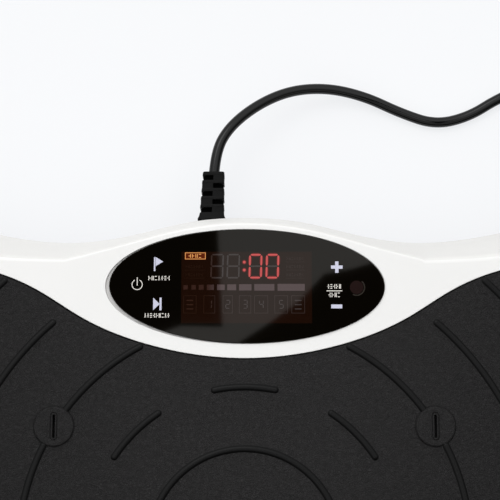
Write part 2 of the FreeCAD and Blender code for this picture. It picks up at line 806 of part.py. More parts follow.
def board_components():
    """Capacitors, relay and sockets, each a separate solid on the board."""
    z0 = control_board_z + board_thickness
    capacitors = [cyl_z(z0, z0 + 30, -216, y, 11) for y in (-26, 0)]
    relay = box(-228, -206, 16, 34, z0, z0 + 15)
    mains_socket = box(-150, -136, 34, 46, z0, z0 + 12)
    motor_socket = box(-150, -136, -46, -34, z0, z0 + 12)
    display_socket = box(-152, -136, -8, 2, z0, z0 + 9)
    return group(capacitors + [relay, mains_socket, motor_socket, display_socket])


def rounded_route(points):
    """Straight runs joined by tangent arcs as large as the runs allow; also the arc radii."""
    points = [V(*p) for p in points]
    edges, radii = [], []
    start = points[0]
    for before, corner, after in zip(points, points[1:], points[2:]):
        run_in, run_out = corner - before, after - corner
        shorter = min(run_in.Length, run_out.Length)
        half_turn = run_in.getAngle(run_out) / 2
        cut_back = 0.45 * shorter
        radius = cut_back / math.tan(half_turn)
        unit_in, unit_out = V(run_in).normalize(), V(run_out).normalize()
        arc_start = corner - unit_in * cut_back
        arc_end = corner + unit_out * cut_back
        inward = (unit_out - unit_in).normalize()
        middle = corner + inward * (radius / math.cos(half_turn) - radius)
        edges.append(Part.LineSegment(start, arc_start).toShape())
        edges.append(Part.Arc(arc_start, middle, arc_end).toShape())
        radii.append(radius)
        start = arc_end
    edges.append(Part.LineSegment(start, points[-1]).toShape())
    return Part.Wire(edges), radii


def route_tube(points, radius, name):
    path, radii = rounded_route(points)
    heading = V(*points[1]) - V(*points[0])
    section = Part.Wire([Part.makeCircle(radius, V(*points[0]), heading)])
    tube = path.makePipeShell([section], True, True)
    expected = math.pi * radius ** 2 * path.Length
    print(name, "length", round(path.Length, 1), "radii", [round(r) for r in radii],
          "volume ratio", round(tube.Volume / expected, 4))
    return tube


def mains_lead():
    return route_tube([(relief_x, relief_root_y, relief_z), (relief_x, 160, relief_z), (-38, 130, 29),
                       (-72, 107, 26), (-110, 94, 27), (-138, 82, 31), (-143, 64, 34), (-143, 46, 34)],
                      2.8, "mains_lead")


def motor_lead():
    return route_tube([(motor_x0 - cap_width, -78, 46), (-86, -78, 46), (-110, -77, 41),
                       (-132, -74, 36), (-143, -61, 34), (-143, -46, 34)], 2.4, "motor_lead")


def display_lead():
    """Hangs from the display board to just above its socket, and rocks with the platform."""
    return route_tube([(-48, 132, board_bottom_z), (-48, 132, 106), (-58, 118, 96), (-82, 92, 86),
                       (-108, 62, 76), (-132, 30, 67), (-144, 8, 58), (-144, -3, 45)],
                      2.2, "display_lead")


# ---------------------------------------------------------------- mains cord
def strain_relief():
    """Flanged collar and a tapered, slotted sleeve round the cord."""
    y0 = relief_root_y
    flange_thickness, flange_radius, collar_radius, collar_length = 2.5, 8.3, 7.3, 8.0
    sleeve_root, sleeve_tip, core_radius = 7.1, 6.35, 4.4
    slot_pitch, slot_width = 3.6, 1.5
    flange = cyl_y(y0, y0 + flange_thickness, relief_x, relief_z, flange_radius)
    collar = cyl_y(y0 + 2, y0 + collar_length, relief_x, relief_z, collar_radius)
    sleeve = Part.makeCone(sleeve_root, sleeve_tip, relief_length - collar_length,
                           V(relief_x, y0 + collar_length, relief_z), V(0, 1, 0))
    relief = fuse(flange, collar, sleeve)
    for i in range(5):
        y = y0 + collar_length + slot_width + slot_pitch * i
        side = 1 if i % 2 else -1
        x0, x1 = sorted((relief_x + side * 1.2, relief_x + side * 9))
        slot = box(x0, x1, y, y + slot_width, relief_z - 9, relief_z + 9)
        relief = relief.cut(slot.cut(cyl_y(y - 1, y + 3, relief_x, relief_z, core_radius)))
    return relief


def cord():
    return route_tube(cord_route, cord_radius, "cord")


def cord_coil():
    return ring_z(0, coil_height, coil_x, coil_y, coil_outer_radius, coil_inner_radius)


def tail_frame():
    """Where the tail leaves the coil, and its heading."""
    angle = math.radians(tail_angle)
    radius = coil_outer_radius - cord_radius
    start = V(coil_x + radius * math.cos(angle), coil_y + radius * math.sin(angle), tail_z)
    return start, V(math.sin(angle), -math.cos(angle), 0)


def cord_tail():
    start, heading = tail_frame()
    return Part.makeCylinder(cord_radius, tail_length, start, heading)


def plug_placed(shape):
    """Turn a plug piece drawn along +X from the origin to where the plug lies."""
    start, heading = tail_frame()
    end = start + heading * tail_length
    shape.rotate(V(0, 0, 0), V(0, 0, 1), tail_angle - 90)
    shape.translate(V(end.x, end.y, plug_half_height))
    return shape


def plug_body():
    """Moulded two-pin plug with rounded sides."""
    sleeve = Part.makeCone(4.6, 7.0, 14, V(-2, 0, tail_z - plug_half_height), V(1, 0, 0))
    body = cyl_x(10, plug_length, 0, 0, plug_half_width)
    flat = box(0, plug_length + 1, -30, 30, -plug_half_height, plug_half_height)
    return plug_placed(fuse(body.common(flat), sleeve))


def plug_pins():
    pins = [cyl_x(plug_length, plug_length + pin_length, side * pin_spacing / 2, 0, pin_radius)
            for side in (-1, 1)]
    return plug_placed(group(pins))


# ---------------------------------------------------------------- write every piece
def main():
    pieces = {
        "upper_shell": upper_shell(), "mat": mat(), "console_lens": console_lens(),
        "console_gasket": console_gasket(), "display_board": display_board(),
        "display_module": display_module(), "infrared_receiver": infrared_receiver(),
        "touch_springs": touch_springs(), "board_screws": board_screws(),
        "shell_screws": shell_screws(), "platform_plate": platform_plate(),
        "rod_brackets": group([rod_bracket(side) for side in (-1, 1)]), "rod_pins": rod_pins(),
        "pivot_lugs": group([pivot_lug(y) for y in pivot_stations.values()]),
        "pivot_brackets": group([pivot_bracket(y) for y in pivot_stations.values()]),
        "pivot_bushes": pivot_bushes(), "display_lead": display_lead(),
        "lower_shell": lower_shell(), "base_plate": base_plate(), "rubber_feet": rubber_feet(),
        "foot_fasteners": group(foot_screws() + foot_nuts()), "frame_bolts": frame_bolts(),
        "pillow_blocks": pillow_blocks(), "shaft_bearings": shaft_bearings(),
        "pivot_pins": pivot_pins(), "buffer_posts": buffer_posts(),
        "rubber_buffers": rubber_buffers(), "motor_can": motor_can(),
        "stator_core": stator_core(), "stator_windings": stator_windings(),
        "motor_end_caps": motor_end_caps(), "motor_bearings": motor_bearings(),
        "motor_cradle": motor_cradle(), "motor_shaft": motor_shaft(), "rotor_core": rotor_core(),
        "motor_pulley": pulley(motor_y, motor_z, motor_pulley_radius, motor_shaft_radius),
        "large_pulley": large_pulley(),
        "drive_belt": drive_belt(), "drive_shaft": drive_shaft(),
        "control_board": control_board(), "board_posts": board_posts(), "heat_sink": heat_sink(),
        "board_components": board_components(), "mains_lead": mains_lead(),
        "motor_lead": motor_lead(), "strain_relief": strain_relief(), "cord": cord(),
        "cord_coil": cord_coil(), "cord_tail": cord_tail(), "plug_body": plug_body(),
        "plug_pins": plug_pins()}
    for name, side in (("left", -1), ("right", 1)):
        pieces[name + "_eccentric"] = eccentric(side)
        pieces[name + "_rod"] = connecting_rod(side)
        pieces[name + "_rod_bearing"] = rod_bearing(side)
        pieces[name + "_rod_bush"] = rod_bush(side)
    for node, shape in pieces.items():
        save(shape, node)
    print(len(pieces), "pieces")


main()
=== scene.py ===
"""Looks of the vibration plate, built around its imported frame. Metres, +Z up, console towards +Y."""
import json
from math import copysign, cos, dist, pi, radians, sin

import bmesh
import bpy
import numpy as np
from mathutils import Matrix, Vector
from mathutils.geometry import delaunay_2d_cdt


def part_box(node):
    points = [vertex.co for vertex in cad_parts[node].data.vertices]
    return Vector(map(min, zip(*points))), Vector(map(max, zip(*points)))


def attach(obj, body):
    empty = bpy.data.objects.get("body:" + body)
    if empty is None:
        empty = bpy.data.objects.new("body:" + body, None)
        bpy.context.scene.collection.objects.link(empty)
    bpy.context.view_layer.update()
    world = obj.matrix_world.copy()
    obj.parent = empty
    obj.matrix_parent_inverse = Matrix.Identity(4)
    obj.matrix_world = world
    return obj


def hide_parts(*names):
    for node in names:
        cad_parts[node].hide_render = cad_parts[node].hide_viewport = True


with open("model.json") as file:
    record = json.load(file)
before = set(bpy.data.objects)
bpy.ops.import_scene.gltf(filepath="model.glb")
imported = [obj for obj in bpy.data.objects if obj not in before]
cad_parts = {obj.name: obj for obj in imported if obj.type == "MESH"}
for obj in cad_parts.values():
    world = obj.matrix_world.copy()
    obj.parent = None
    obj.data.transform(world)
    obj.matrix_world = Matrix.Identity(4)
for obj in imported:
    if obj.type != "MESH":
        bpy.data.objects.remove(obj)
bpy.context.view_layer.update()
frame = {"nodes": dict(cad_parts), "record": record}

MM = 0.001


# ---- places taken from the frame
shell_low, shell_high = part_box("upper_shell")
mat_low, mat_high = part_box("mat")
lens_low, lens_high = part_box("console_lens")
tray_low, tray_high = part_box("lower_shell")
relief_low, relief_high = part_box("strain_relief")
coil_low, coil_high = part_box("cord_coil")

RIDGE_HEIGHT = 1.0 * MM
MAT_TOP = mat_high.z - RIDGE_HEIGHT
RIM = shell_high.z
SKIRT = shell_low.z
LENS_TOP = lens_high.z
LENS_X, LENS_Y = ((lens_low + lens_high) / 2).xy
LENS_A, LENS_B = ((lens_high - lens_low) / 2).xy
MARKS_X = LENS_X - 1.1 * MM
MARKS_Y = LENS_Y - 0.1 * MM
RELIEF = Vector(((relief_low.x + relief_high.x) / 2, relief_low.y, (relief_low.z + relief_high.z) / 2))
RELIEF_TIP = relief_high.y

# outlines, right half from back to front, in millimetres
HALF_LENGTH, HALF_WIDTH = 337.0, 191.5
END_EXPONENT = 2.4
END_PARTS = 8


def polar(radius, angle, centre=(0.0, 0.0)):
    return (centre[0] + radius * cos(angle), centre[1] + radius * sin(angle))


def superellipse(angle, half_width, half_height, exponent):
    c, s = cos(angle), sin(angle)
    return (copysign(abs(c) ** (2 / exponent), c) * half_width,
            copysign(abs(s) ** (2 / exponent), s) * half_height)


def end_points(centre_x, length, width):
    """The superelliptic right-hand end, from the back lobe round to the front lobe."""
    points = []
    for i in range(END_PARTS + 1):
        x, y = superellipse(pi / 2 - pi * i / END_PARTS, length - centre_x, width, END_EXPONENT)
        points.append((centre_x + x, y))
    return points


SKIRT_RIGHT = ([(100.0, 175.5), (150.0, 181.0)] + end_points(212.0, HALF_LENGTH, HALF_WIDTH)
               + [(150.0, -188.0), (75.0, -184.0), (0.0, -182.5)])
SKIRT_BULGE = [(0.0, 190.5), (33.0, 188.0), (62.0, 181.2)]
CREASE_RIGHT = ([(97.0, 152.0), (132.0, 153.9)] + end_points(205.0, 311.0, 161.5)
                + [(140.0, -158.5), (70.0, -154.0), (0.0, -152.5)])
CREASE_BULGE = [(0.0, 171.7), (40.0, 166.8), (73.0, 157.8), (97.0, 152.0)]
MAT_RIGHT = ([(0.0, 98.0), (50.0, 104.9), (88.0, 120.2), (110.0, 133.9), (132.0, 143.7)]
             + end_points(180.0, 302.0, 150.5) + [(120.0, -147.5), (60.0, -143.0), (0.0, -141.5)])


def mirrored(points):
    return [(-x, y) for x, y in reversed(points) if x > 0]


def cubic_line(points, closed, per_span):
    """Smooth line through the points, with continuous curvature, in metres."""
    p = np.array(points, float)
    ring = np.vstack([p, p[:1]]) if closed else p
    gap = np.linalg.norm(np.diff(ring, axis=0), axis=1)
    slope = np.diff(ring, axis=0) / gap[:, None]
    n = len(p)
    system, right = np.zeros((n, n)), np.zeros((n, 2))
    for i in range(n):
        if not closed and i in (0, n - 1):
            j = 1 if i == 0 else n - 2
            system[i, i], system[i, j] = 2, 1
            right[i] = 3 * slope[min(i, n - 2)]
            continue
        before, after = gap[i - 1], gap[i]
        system[i, i - 1] = after
        system[i, i] = 2 * (before + after)
        system[i, (i + 1) % n] = before
        right[i] = 3 * (after * slope[i - 1] + before * slope[i])
    tangent = np.linalg.solve(system, right)
    line = []
    for i in range(len(gap)):
        a, b = ring[i], ring[i + 1]
        ta, tb = tangent[i] * gap[i], tangent[(i + 1) % n] * gap[i]
        for k in range(per_span):
            t = k / per_span
            line.append((2 * t**3 - 3 * t**2 + 1) * a + (t**3 - 2 * t**2 + t) * ta
                        + (3 * t**2 - 2 * t**3) * b + (t**3 - t**2) * tb)
    if not closed:
        line.append(ring[-1])
    return np.array(line) * MM


# points per span of an outline
SPAN = 20


def skirt_loop():
    points = SKIRT_RIGHT + mirrored(SKIRT_RIGHT) + mirrored(SKIRT_BULGE) + SKIRT_BULGE
    return cubic_line(points, True, SPAN)


def crease_loop():
    rest = cubic_line(CREASE_RIGHT + mirrored(CREASE_RIGHT), False, SPAN)
    bulge = cubic_line(mirrored(CREASE_BULGE) + CREASE_BULGE, False, SPAN)
    return np.vstack([rest[:-1], bulge[:-1]])


def mat_loop():
    return cubic_line(MAT_RIGHT + mirrored(MAT_RIGHT), True, SPAN)


def inward(loop):
    """Unit normals that point into a clockwise loop."""
    step = np.roll(loop, -1, axis=0) - np.roll(loop, 1, axis=0)
    step /= np.linalg.norm(step, axis=1)[:, None]
    return np.stack([step[:, 1], -step[:, 0]], axis=1)


def at(loop, z):
    """A flat loop lifted to the height z."""
    return np.column_stack([loop, np.full(len(loop), z)])


def quarter(radius, steps):
    """Points of a quarter round from its foot to its top: how far in, and how far up."""
    turns = [pi / 2 * k / steps for k in range(steps + 1)]
    return [(radius - radius * cos(t), radius * sin(t)) for t in turns]


def bend(start, corner, end, steps):
    """Loops along a parabola that rounds a corner."""
    shares = [k / steps for k in range(steps + 1)]
    return [(1 - t) ** 2 * start + 2 * t * (1 - t) * corner + t * t * end for t in shares]


# ---- mesh helpers
def add_object(name, data):
    piece = bpy.data.objects.new(name, data)
    bpy.context.scene.collection.objects.link(piece)
    return piece


class Shape:
    """Collects points and faces of one piece."""

    def __init__(self):
        self.points, self.faces, self.flat, self.finish = [], [], [], []
        self.current = 0

    def loop(self, points):
        start = len(self.points)
        self.points.extend([tuple(p) for p in points])
        return list(range(start, start + len(points)))

    def face(self, corners, flat=False):
        self.faces.append(corners)
        self.flat.append(flat)
        self.finish.append(self.current)

    def skin(self, loops, cap_start=False, cap_end=False):
        """Faces from each closed loop to the next, all with the same number of points."""
        rows = [self.loop(points) for points in loops]
        for a, b in zip(rows, rows[1:]):
            for i in range(len(a)):
                j = (i + 1) % len(a)
                self.face([a[i], a[j], b[j], b[i]])
        if cap_start:
            self.face(rows[0][::-1], True)
        if cap_end:
            self.face(rows[-1], True)
        return rows

    def build(self, name, *materials):
        mesh = bpy.data.meshes.new(name)
        mesh.from_pydata(self.points, [], self.faces)
        for made in materials:
            mesh.materials.append(made)
        mesh.polygons.foreach_set("material_index", self.finish)
        mesh.update()
        mesh.set_sharp_from_angle(angle=radians(50))
        mesh.polygons.foreach_set("use_smooth", [not f for f in self.flat])
        return add_object(name, mesh)


ROUND_POINTS, LENS_POINTS = 64, 160


def circle(radius, count=ROUND_POINTS, centre=(0.0, 0.0)):
    angles = np.arange(count) * 2 * pi / count
    return np.stack([centre[0] + radius * np.cos(angles), centre[1] + radius * np.sin(angles)], axis=1)


def lens_ellipse(a, b):
    """Clockwise round the middle of the lens, so that inward() holds."""
    angles = -np.arange(LENS_POINTS) * 2 * pi / LENS_POINTS
    return np.stack([LENS_X + a * np.cos(angles), LENS_Y + b * np.sin(angles)], axis=1)


def weld(piece):
    """Join points that lie on each other."""
    joined = bmesh.new()
    joined.from_mesh(piece.data)
    bmesh.ops.remove_doubles(joined, verts=joined.verts, dist=0.5e-6)
    joined.to_mesh(piece.data)
    joined.free()
    return piece


def finish_piece(piece, body, slot, *nodes):
    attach(piece, body)
    if nodes:
        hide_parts(*nodes)
    return piece


# ---- materials
def shader_inputs(made):
    return made.node_tree.nodes["Principled BSDF"].inputs


def material(name, colour, roughness, specular, metallic=0.0):
    made = bpy.data.materials.new(name)
    made.use_nodes = True
    sockets = {"Base Color": (*colour, 1), "Roughness": roughness, "Specular IOR Level": specular,
               "Metallic": metallic}
    for socket, value in sockets.items():
        shader_inputs(made)[socket].default_value = value
    return made


def node(made, kind, **values):
    """A new shader node; a value sets the socket of that name, or else the node's own setting."""
    new = made.node_tree.nodes.new("ShaderNode" + kind)
    for key, value in values.items():
        if key in new.inputs:
            new.inputs[key].default_value = value
        else:
            setattr(new, key, value)
    return new


def link(made, source, target):
    made.node_tree.links.new(source, target)


def object_place(made):
    return node(made, "TexCoord").outputs["Object"]


def noise_of(made, place, scale, detail=3.0, roughness=0.5):
    noise = node(made, "TexNoise", Scale=scale, Detail=detail, Roughness=roughness)
    link(made, place, noise.inputs["Vector"])
    return noise.outputs["Fac"]


def spread_over(made, value, start, end, low=0.0, high=1.0):
    """The value led from the span start to end onto the span low to high."""
    limits = {"From Min": start, "From Max": end, "To Min": low, "To Max": high}
    span = node(made, "MapRange", **limits)
    link(made, value, span.inputs["Value"])
    return span.outputs["Result"]


def times_plus(made, value, factor, term):
    total = node(made, "Math", operation="MULTIPLY_ADD")
    link(made, value, total.inputs[0])
    total.inputs[1].default_value = factor
    link(made, term, total.inputs[2])
    return total.outputs[0]


def vary(made, factor, low, high, socket):
    """Lead a factor, stretched between two values, into one of the shader's sockets."""
    target = shader_inputs(made)[socket]
    if isinstance(low, tuple):
        mix = node(made, "Mix", data_type="RGBA")
        mix.inputs[6].default_value = (*low, 1)
        mix.inputs[7].default_value = (*high, 1)
        link(made, factor, mix.inputs[0])
        link(made, mix.outputs[2], target)
    else:
        link(made, spread_over(made, factor, 0.0, 1.0, low, high), target)


def bump(made, height, distance):
    relief = node(made, "Bump", Distance=distance)
    link(made, height, relief.inputs["Height"])
    link(made, relief.outputs["Normal"], shader_inputs(made)["Normal"])


def moulded(name, colour, roughness, specular=0.5, grain=900.0, depth=0.02, spread=0.05):
    """Moulded plastic or rubber: slight colour drift, uneven gloss and a fine grain."""
    made = material(name, colour, roughness, specular)
    place = object_place(made)
    vary(made, noise_of(made, place, 14.0, 4.0), tuple(c * 0.96 for c in colour), colour, "Base Color")
    vary(made, noise_of(made, place, 60.0), roughness - spread, roughness + spread, "Roughness")
    bump(made, noise_of(made, place, grain, 4.0, 0.6), depth * MM)
    return made


GRAIN_SCALE = 1050.0
GRAIN_DEPTH = 0.30 * MM
# painted light: the mat is painted paler round this spot near the console
PAINTED_LIGHT_SPOT = (0.0, 110.0 * MM, MAT_TOP)
PAINTED_LIGHT_REACH = (50.0 * MM, 210.0 * MM)


def leather_rubber():
    """The mat: dark rubber with a fine leather grain, with painted light that makes it palest near the
    console.
    """
    made = material("mat_rubber", (0.0075, 0.0072, 0.0072), 0.5, 0.24)
    place = object_place(made)
    warp = noise_of(made, place, 900.0, 4.0)
    mix = node(made, "Mix", data_type="VECTOR")
    mix.inputs[0].default_value = 0.004
    link(made, place, mix.inputs[4])
    spot = node(made, "TexNoise", Scale=300.0, Detail=3.0)
    link(made, place, spot.inputs["Vector"])
    link(made, spot.outputs["Color"], mix.inputs[5])
    cells = node(made, "TexVoronoi", Scale=GRAIN_SCALE, feature="DISTANCE_TO_EDGE")
    link(made, mix.outputs[1], cells.inputs["Vector"])
    crease = spread_over(made, cells.outputs["Distance"], 0.0, 0.22)
    bump(made, times_plus(made, crease, 0.6, warp), GRAIN_DEPTH)
    # painted light: paler colour the nearer a point lies to the console
    apart = node(made, "VectorMath", operation="DISTANCE")
    link(made, place, apart.inputs[0])
    apart.inputs[1].default_value = PAINTED_LIGHT_SPOT
    painted_light = spread_over(made, apart.outputs["Value"], PAINTED_LIGHT_REACH[1], PAINTED_LIGHT_REACH[0])
    blotch_and_painted_light = times_plus(made, noise_of(made, place, 9.0), 0.16, painted_light)
    vary(made, blotch_and_painted_light, (0.0052, 0.0048, 0.0049), (0.0124, 0.0116, 0.0117), "Base Color")
    vary(made, warp, 0.5, 0.66, "Roughness")
    return made


def bead_rubber():
    """The mat's raised lines, smooth from the mould."""
    made = material("bead_rubber", (0.0025, 0.0025, 0.0025), 0.36, 0.13)
    place = object_place(made)
    vary(made, noise_of(made, place, 30.0), (0.0023, 0.0023, 0.0023), (0.0029, 0.0028, 0.0027), "Base Color")
    bump(made, noise_of(made, place, 900.0), 0.02 * MM)
    return made


LENS_ROUGHNESS, LENS_SPECULAR = 0.03, 0.205
LENS_TINT = (1.0, 0.956, 0.894)
SHADED_X, CLEAR_X = MARKS_X - 20.0 * MM, MARKS_X - 13.0 * MM


def behind_lens(name, colour):
    """Anything seen through the glossy black lens."""
    made = moulded(name, colour, LENS_ROUGHNESS, LENS_SPECULAR, 200.0, 0.0, 0.004)
    shader_inputs(made)["Specular Tint"].default_value = (*LENS_TINT, 1)
    return made


def unlit_print(name, shaded, clear):
    """Unlit display marks, fainter in the darker left part of the display."""
    made = behind_lens(name, clear)
    apart = node(made, "SeparateXYZ")
    link(made, object_place(made), apart.inputs[0])
    vary(made, spread_over(made, apart.outputs["X"], SHADED_X, CLEAR_X), shaded, clear, "Base Color")
    return made


def glowing(name, colour, strength):
    made = behind_lens(name, (0.02, 0.004, 0.003))
    uneven = noise_of(made, object_place(made), 700.0, 2.0)
    vary(made, uneven, tuple(c * 0.85 for c in colour), colour, "Emission Color")
    shader_inputs(made)["Emission Strength"].default_value = strength
    return made


def metal(name, colour, roughness, grain=300.0):
    """Machined or cast metal with uneven gloss and fine marks."""
    made = material(name, colour, roughness, 0.5, 1.0)
    place = object_place(made)
    marks = noise_of(made, place, grain, 5.0, 0.7)
    vary(made, marks, roughness * 0.8, roughness * 1.25, "Roughness")
    vary(made, noise_of(made, place, 40.0), tuple(c * 0.88 for c in colour), colour, "Base Color")
    bump(made, marks, 0.02 * MM)
    return made


# ---- camera, floor and light
EYE_X, EYE_Y, EYE_ABOVE_MAT = 2.8 * MM, 16.6 * MM, 796.1 * MM
EYE_TIP = radians(9.95)
FOCAL_LENGTH, SENSOR_WIDTH = 108.0, 36.0


def camera():
    """Above the middle of the deck, tipped towards the console."""
    data = bpy.data.cameras.new("camera")
    data.lens, data.sensor_width = FOCAL_LENGTH, SENSOR_WIDTH
    data.clip_start, data.clip_end = 0.01, 50.0
    eye = add_object("camera", data)
    eye.location = (EYE_X, EYE_Y, MAT_TOP + EYE_ABOVE_MAT)
    eye.rotation_euler = (EYE_TIP, 0.0, 0.0)
    bpy.context.scene.camera = eye


CORD_DIAMETER = 6.5 * MM
CORD_ROUTE = [(-19.2, 218.1, 32.5), (-18.3, 233.9, 32.3), (-10.2, 250.0, 30.3), (7.0, 266.0, 24.0),
              (28.0, 277.5, 16.5), (52.0, 281.0, 10.0), (76.0, 276.5, 5.5), (98.0, 266.5, 3.25),
              (120.0, 258.8, 3.25), (141.5, 264.0, 3.25), (161.0, 276.5, 3.25), (191.0, 289.0, 3.25)]
COIL_CENTRE = ((coil_low + coil_high) / 2).xy
COIL_RADII = [44.0 * MM, 37.5 * MM, 31.0 * MM, 31.0 * MM, 37.5 * MM, 44.0 * MM]
TURNS = len(COIL_RADII)
TURN_POINTS = 16
TAIL_ANGLE = 60.0
TAIL_LENGTH = 42.0 * MM


def coil_points():
    """Three turns inwards on the floor, then three outwards on top of them, each a step apart."""
    shrink = cos(pi / TURN_POINTS)
    levels = [CORD_DIAMETER / 2] * 3 + [CORD_DIAMETER * 1.5] * 3
    points = []
    for k in range(TURNS * TURN_POINTS + 2):
        turn, part = min(k // TURN_POINTS, TURNS - 1), (k % TURN_POINTS) / TURN_POINTS
        after = min(turn + 1, TURNS - 1)
        step = max(0.0, (part - 0.75) / 0.25) if k < TURNS * TURN_POINTS else 0.0
        ease = step * step * (3 - 2 * step)
        radius = COIL_RADII[turn] * (1 - ease) + COIL_RADII[after] * ease
        height = levels[turn] * (1 - ease) + levels[after] * ease
        angle = radians(90.0) - k * 2 * pi / TURN_POINTS
        points.append(Vector((*polar(radius / shrink, angle, COIL_CENTRE), height)))
    return points


def tail_place():
    """Where the cord leaves the coil, and its heading there."""
    angle = radians(TAIL_ANGLE)
    start = Vector((*polar(COIL_RADII[0], angle, COIL_CENTRE), CORD_DIAMETER * 1.5))
    return start, Vector((sin(angle), -cos(angle), 0.0))


def cord(cord_black):
    start, heading = tail_place()
    points = [Vector(p) * MM for p in CORD_ROUTE] + coil_points()
    points += [start + heading * reach * MM for reach in (12.0, 26.0, 46.0)]
    data = bpy.data.curves.new("mains_cord", "CURVE")
    data.dimensions = "3D"
    data.bevel_depth = CORD_DIAMETER / 2
    data.bevel_resolution = 8
    data.resolution_u = 10
    data.use_fill_caps = True
    line = data.splines.new("NURBS")
    line.points.add(len(points) - 1)
    for target, point in zip(line.points, points):
        target.co = (*point, 1.0)
    line.order_u = 3
    line.use_endpoint_u = True
    data.materials.append(cord_black)
    return finish_piece(add_object("mains_cord", data), "base", "cord_pvc", "cord", "cord_coil", "cord_tail")


def section_points(half_width, half_height, exponent, count=48):
    return [superellipse(2 * pi * i / count, half_width, half_height, exponent) for i in range(count)]


SLEEVE_RIBS = 4
PLUG_BODY = [(13.0, 7.6, 7.0, 2.1, 0.7), (15.0, 12.0, 9.0, 2.3, 0.9), (18.0, 15.6, 11.0, 2.6, 1.0),
             (22.0, 17.1, 12.1, 3.0, 1.0), (28.0, 17.4, 12.4, 3.2, 1.0), (35.0, 17.4, 12.4, 3.2, 1.0),
             (37.2, 17.0, 12.0, 3.2, 1.0), (38.0, 16.2, 11.2, 3.2, 1.0)]
PRONG_APART = 19.0
PRONG = [(37.0, 2.4), (54.6, 2.4), (56.0, 2.0), (56.8, 1.2), (57.0, 0.4)]


def plug(cord_black, prong_metal):
    """Moulded two-pin plug: a ribbed sleeve that swells into a rounded body."""
    start, heading = tail_place()
    across = Vector((-heading.y, heading.x, 0.0))
    root = start + heading * TAIL_LENGTH
    cord_z, body_z = root.z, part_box("plug_body")[1].z / 2

    def section(reach, half_width, half_height, exponent, lift, aside=0.0, count=48):
        centre = root + heading * reach * MM + across * aside * MM
        centre.z = cord_z + (body_z - cord_z) * lift
        return [centre + across * (u * MM) + Vector((0, 0, v * MM))
                for u, v in section_points(half_width, half_height, exponent, count)]

    stations = [(-2.0, 3.6, 3.6, 2.0, 0.0), (-2.0, 4.6, 4.6, 2.0, 0.0)]
    for k in range(SLEEVE_RIBS):
        for reach, extra in ((0.0, 0.0), (2.0, 0.2), (2.2, -0.7), (3.2, -0.5)):
            radius = 4.8 + 0.5 * k + extra
            stations.append((-1.0 + 3.4 * k + reach, radius, radius, 2.0, 0.15 * k))
    shape = Shape()
    shape.skin([section(*s) for s in stations + PLUG_BODY], cap_start=True, cap_end=True)
    body = finish_piece(shape.build("plug_moulding", cord_black), "base", "cord_pvc", "plug_body")

    prongs = Shape()
    for aside in (-PRONG_APART / 2, PRONG_APART / 2):
        loops = [section(reach, radius, radius, 2.0, 1.0, aside, 24) for reach, radius in PRONG]
        prongs.skin(loops, cap_start=True, cap_end=True)
    pins = finish_piece(prongs.build("plug_prongs", prong_metal), "base", "plug_brass", "plug_pins")
    return body, pins


GUARD_EXTRA = 2.3 * MM
GUARD_LEAN = -1.2
GUARD_CORNER = 1.6
GUARD_FOOT = [(0.0, 3.0), (0.0, 8.0), (0.5, 8.3), (1.8, 8.4), (2.3, 8.15), (3.4, 7.7), (4.8, 7.4)]
GUARD_SLOTS = 5
SLOT_SHARE = 0.60
POCKET = 1.6


def quadrant(side, way, half_width, half_height, corner):
    """A quarter of a rounded rectangle, from its middle line above or below to its side."""
    points = [(side * (half_width - reach), way * (half_height - corner + rise))
              for reach, rise in reversed(quarter(corner, 5))]
    return [(0.0, way * half_height), *points, (side * half_width, 0.0)]


def strain_relief(guard_black, pocket_painted_shade):
    """Flared foot, then a square sleeve with pockets on alternate sides; the pocket floors are painted
    darker as painted shade.
    """
    root, tip = RELIEF.y, RELIEF_TIP + GUARD_EXTRA
    shape = Shape()

    def section(y, half, pocket=0):
        outline = []
        for side, way in ((1, 1), (1, -1), (-1, -1), (-1, 1)):
            if side == pocket:
                points = quadrant(side, way, half - 0.3, POCKET, 1.0)
            else:
                points = quadrant(side, way, half, half, min(GUARD_CORNER, 0.45 * half))
            outline += points if side == way else points[::-1]
        x = RELIEF.x + GUARD_LEAN * MM * (tip - y) / (tip - root)
        return [(x + u * MM, y, RELIEF.z + v * MM) for u, v in outline]

    loops = [section(root + reach * MM, half) for reach, half in GUARD_FOOT]
    first = root + 5.6 * MM
    pitch = (tip - 2.3 * MM - first) / (GUARD_SLOTS - 1 + SLOT_SHARE)
    for i in range(GUARD_SLOTS):
        low, half = first + pitch * i, 7.3 - 0.16 * i
        high = low + SLOT_SHARE * pitch
        side = 1 if i % 2 else -1
        lower = half - 0.12
        loops += [section(low - 0.2 * MM, half), section(low, lower), section(low, lower, side),
                  section(high, lower, side), section(high, lower), section(high + 0.2 * MM, half)]
    loops += [section(tip - 0.4 * MM, 6.5), section(tip, 6.2), section(tip, 3.4)]
    shape.skin(loops)
    piece = shape.build("cord_guard", guard_black, pocket_painted_shade)
    # painted shade: the flat floors of the pockets take the darker vinyl
    for polygon in piece.data.polygons:
        if abs(polygon.center.z - RELIEF.z) < (POCKET + 0.1) * MM and abs(polygon.normal.z) > 0.7:
            polygon.material_index = 1
    return finish_piece(piece, "base", "cord_pvc", "strain_relief")


def staged_sheet(name, corners, height, made):
    """A flat part of the studio, from corners in millimetres."""
    mesh = bpy.data.meshes.new(name)
    mesh.from_pydata([(x * MM, y * MM, height) for x, y in corners], [], [list(range(len(corners)))])
    mesh.materials.append(made)
    add_object(name, mesh)


def overhead(x, y):
    """Where a camera ray mirrored at this point of the lens meets the flags' height."""
    eye = bpy.context.scene.camera.location
    reach = FLAG_HEIGHT / (eye.z - LENS_TOP)
    y += MARKS_Y / MM
    return (x + (x - eye.x / MM) * reach, y + (y - eye.y / MM) * reach)


LIT_SIDE = Vector((-0.15, 0.60, 0.78)).normalized()
SKY_BY_SIDE = [(-0.5, 0.02), (-0.1, 0.08), (0.3, 0.40), (0.7, 1.0)]
SKY_BY_HEIGHT = [(0.0, 0.55), (0.3, 0.75), (0.7, 0.98), (1.0, 1.17)]
SKY_STRENGTH = 1.43
SKY_TINT = (0.985, 0.992, 1.0)


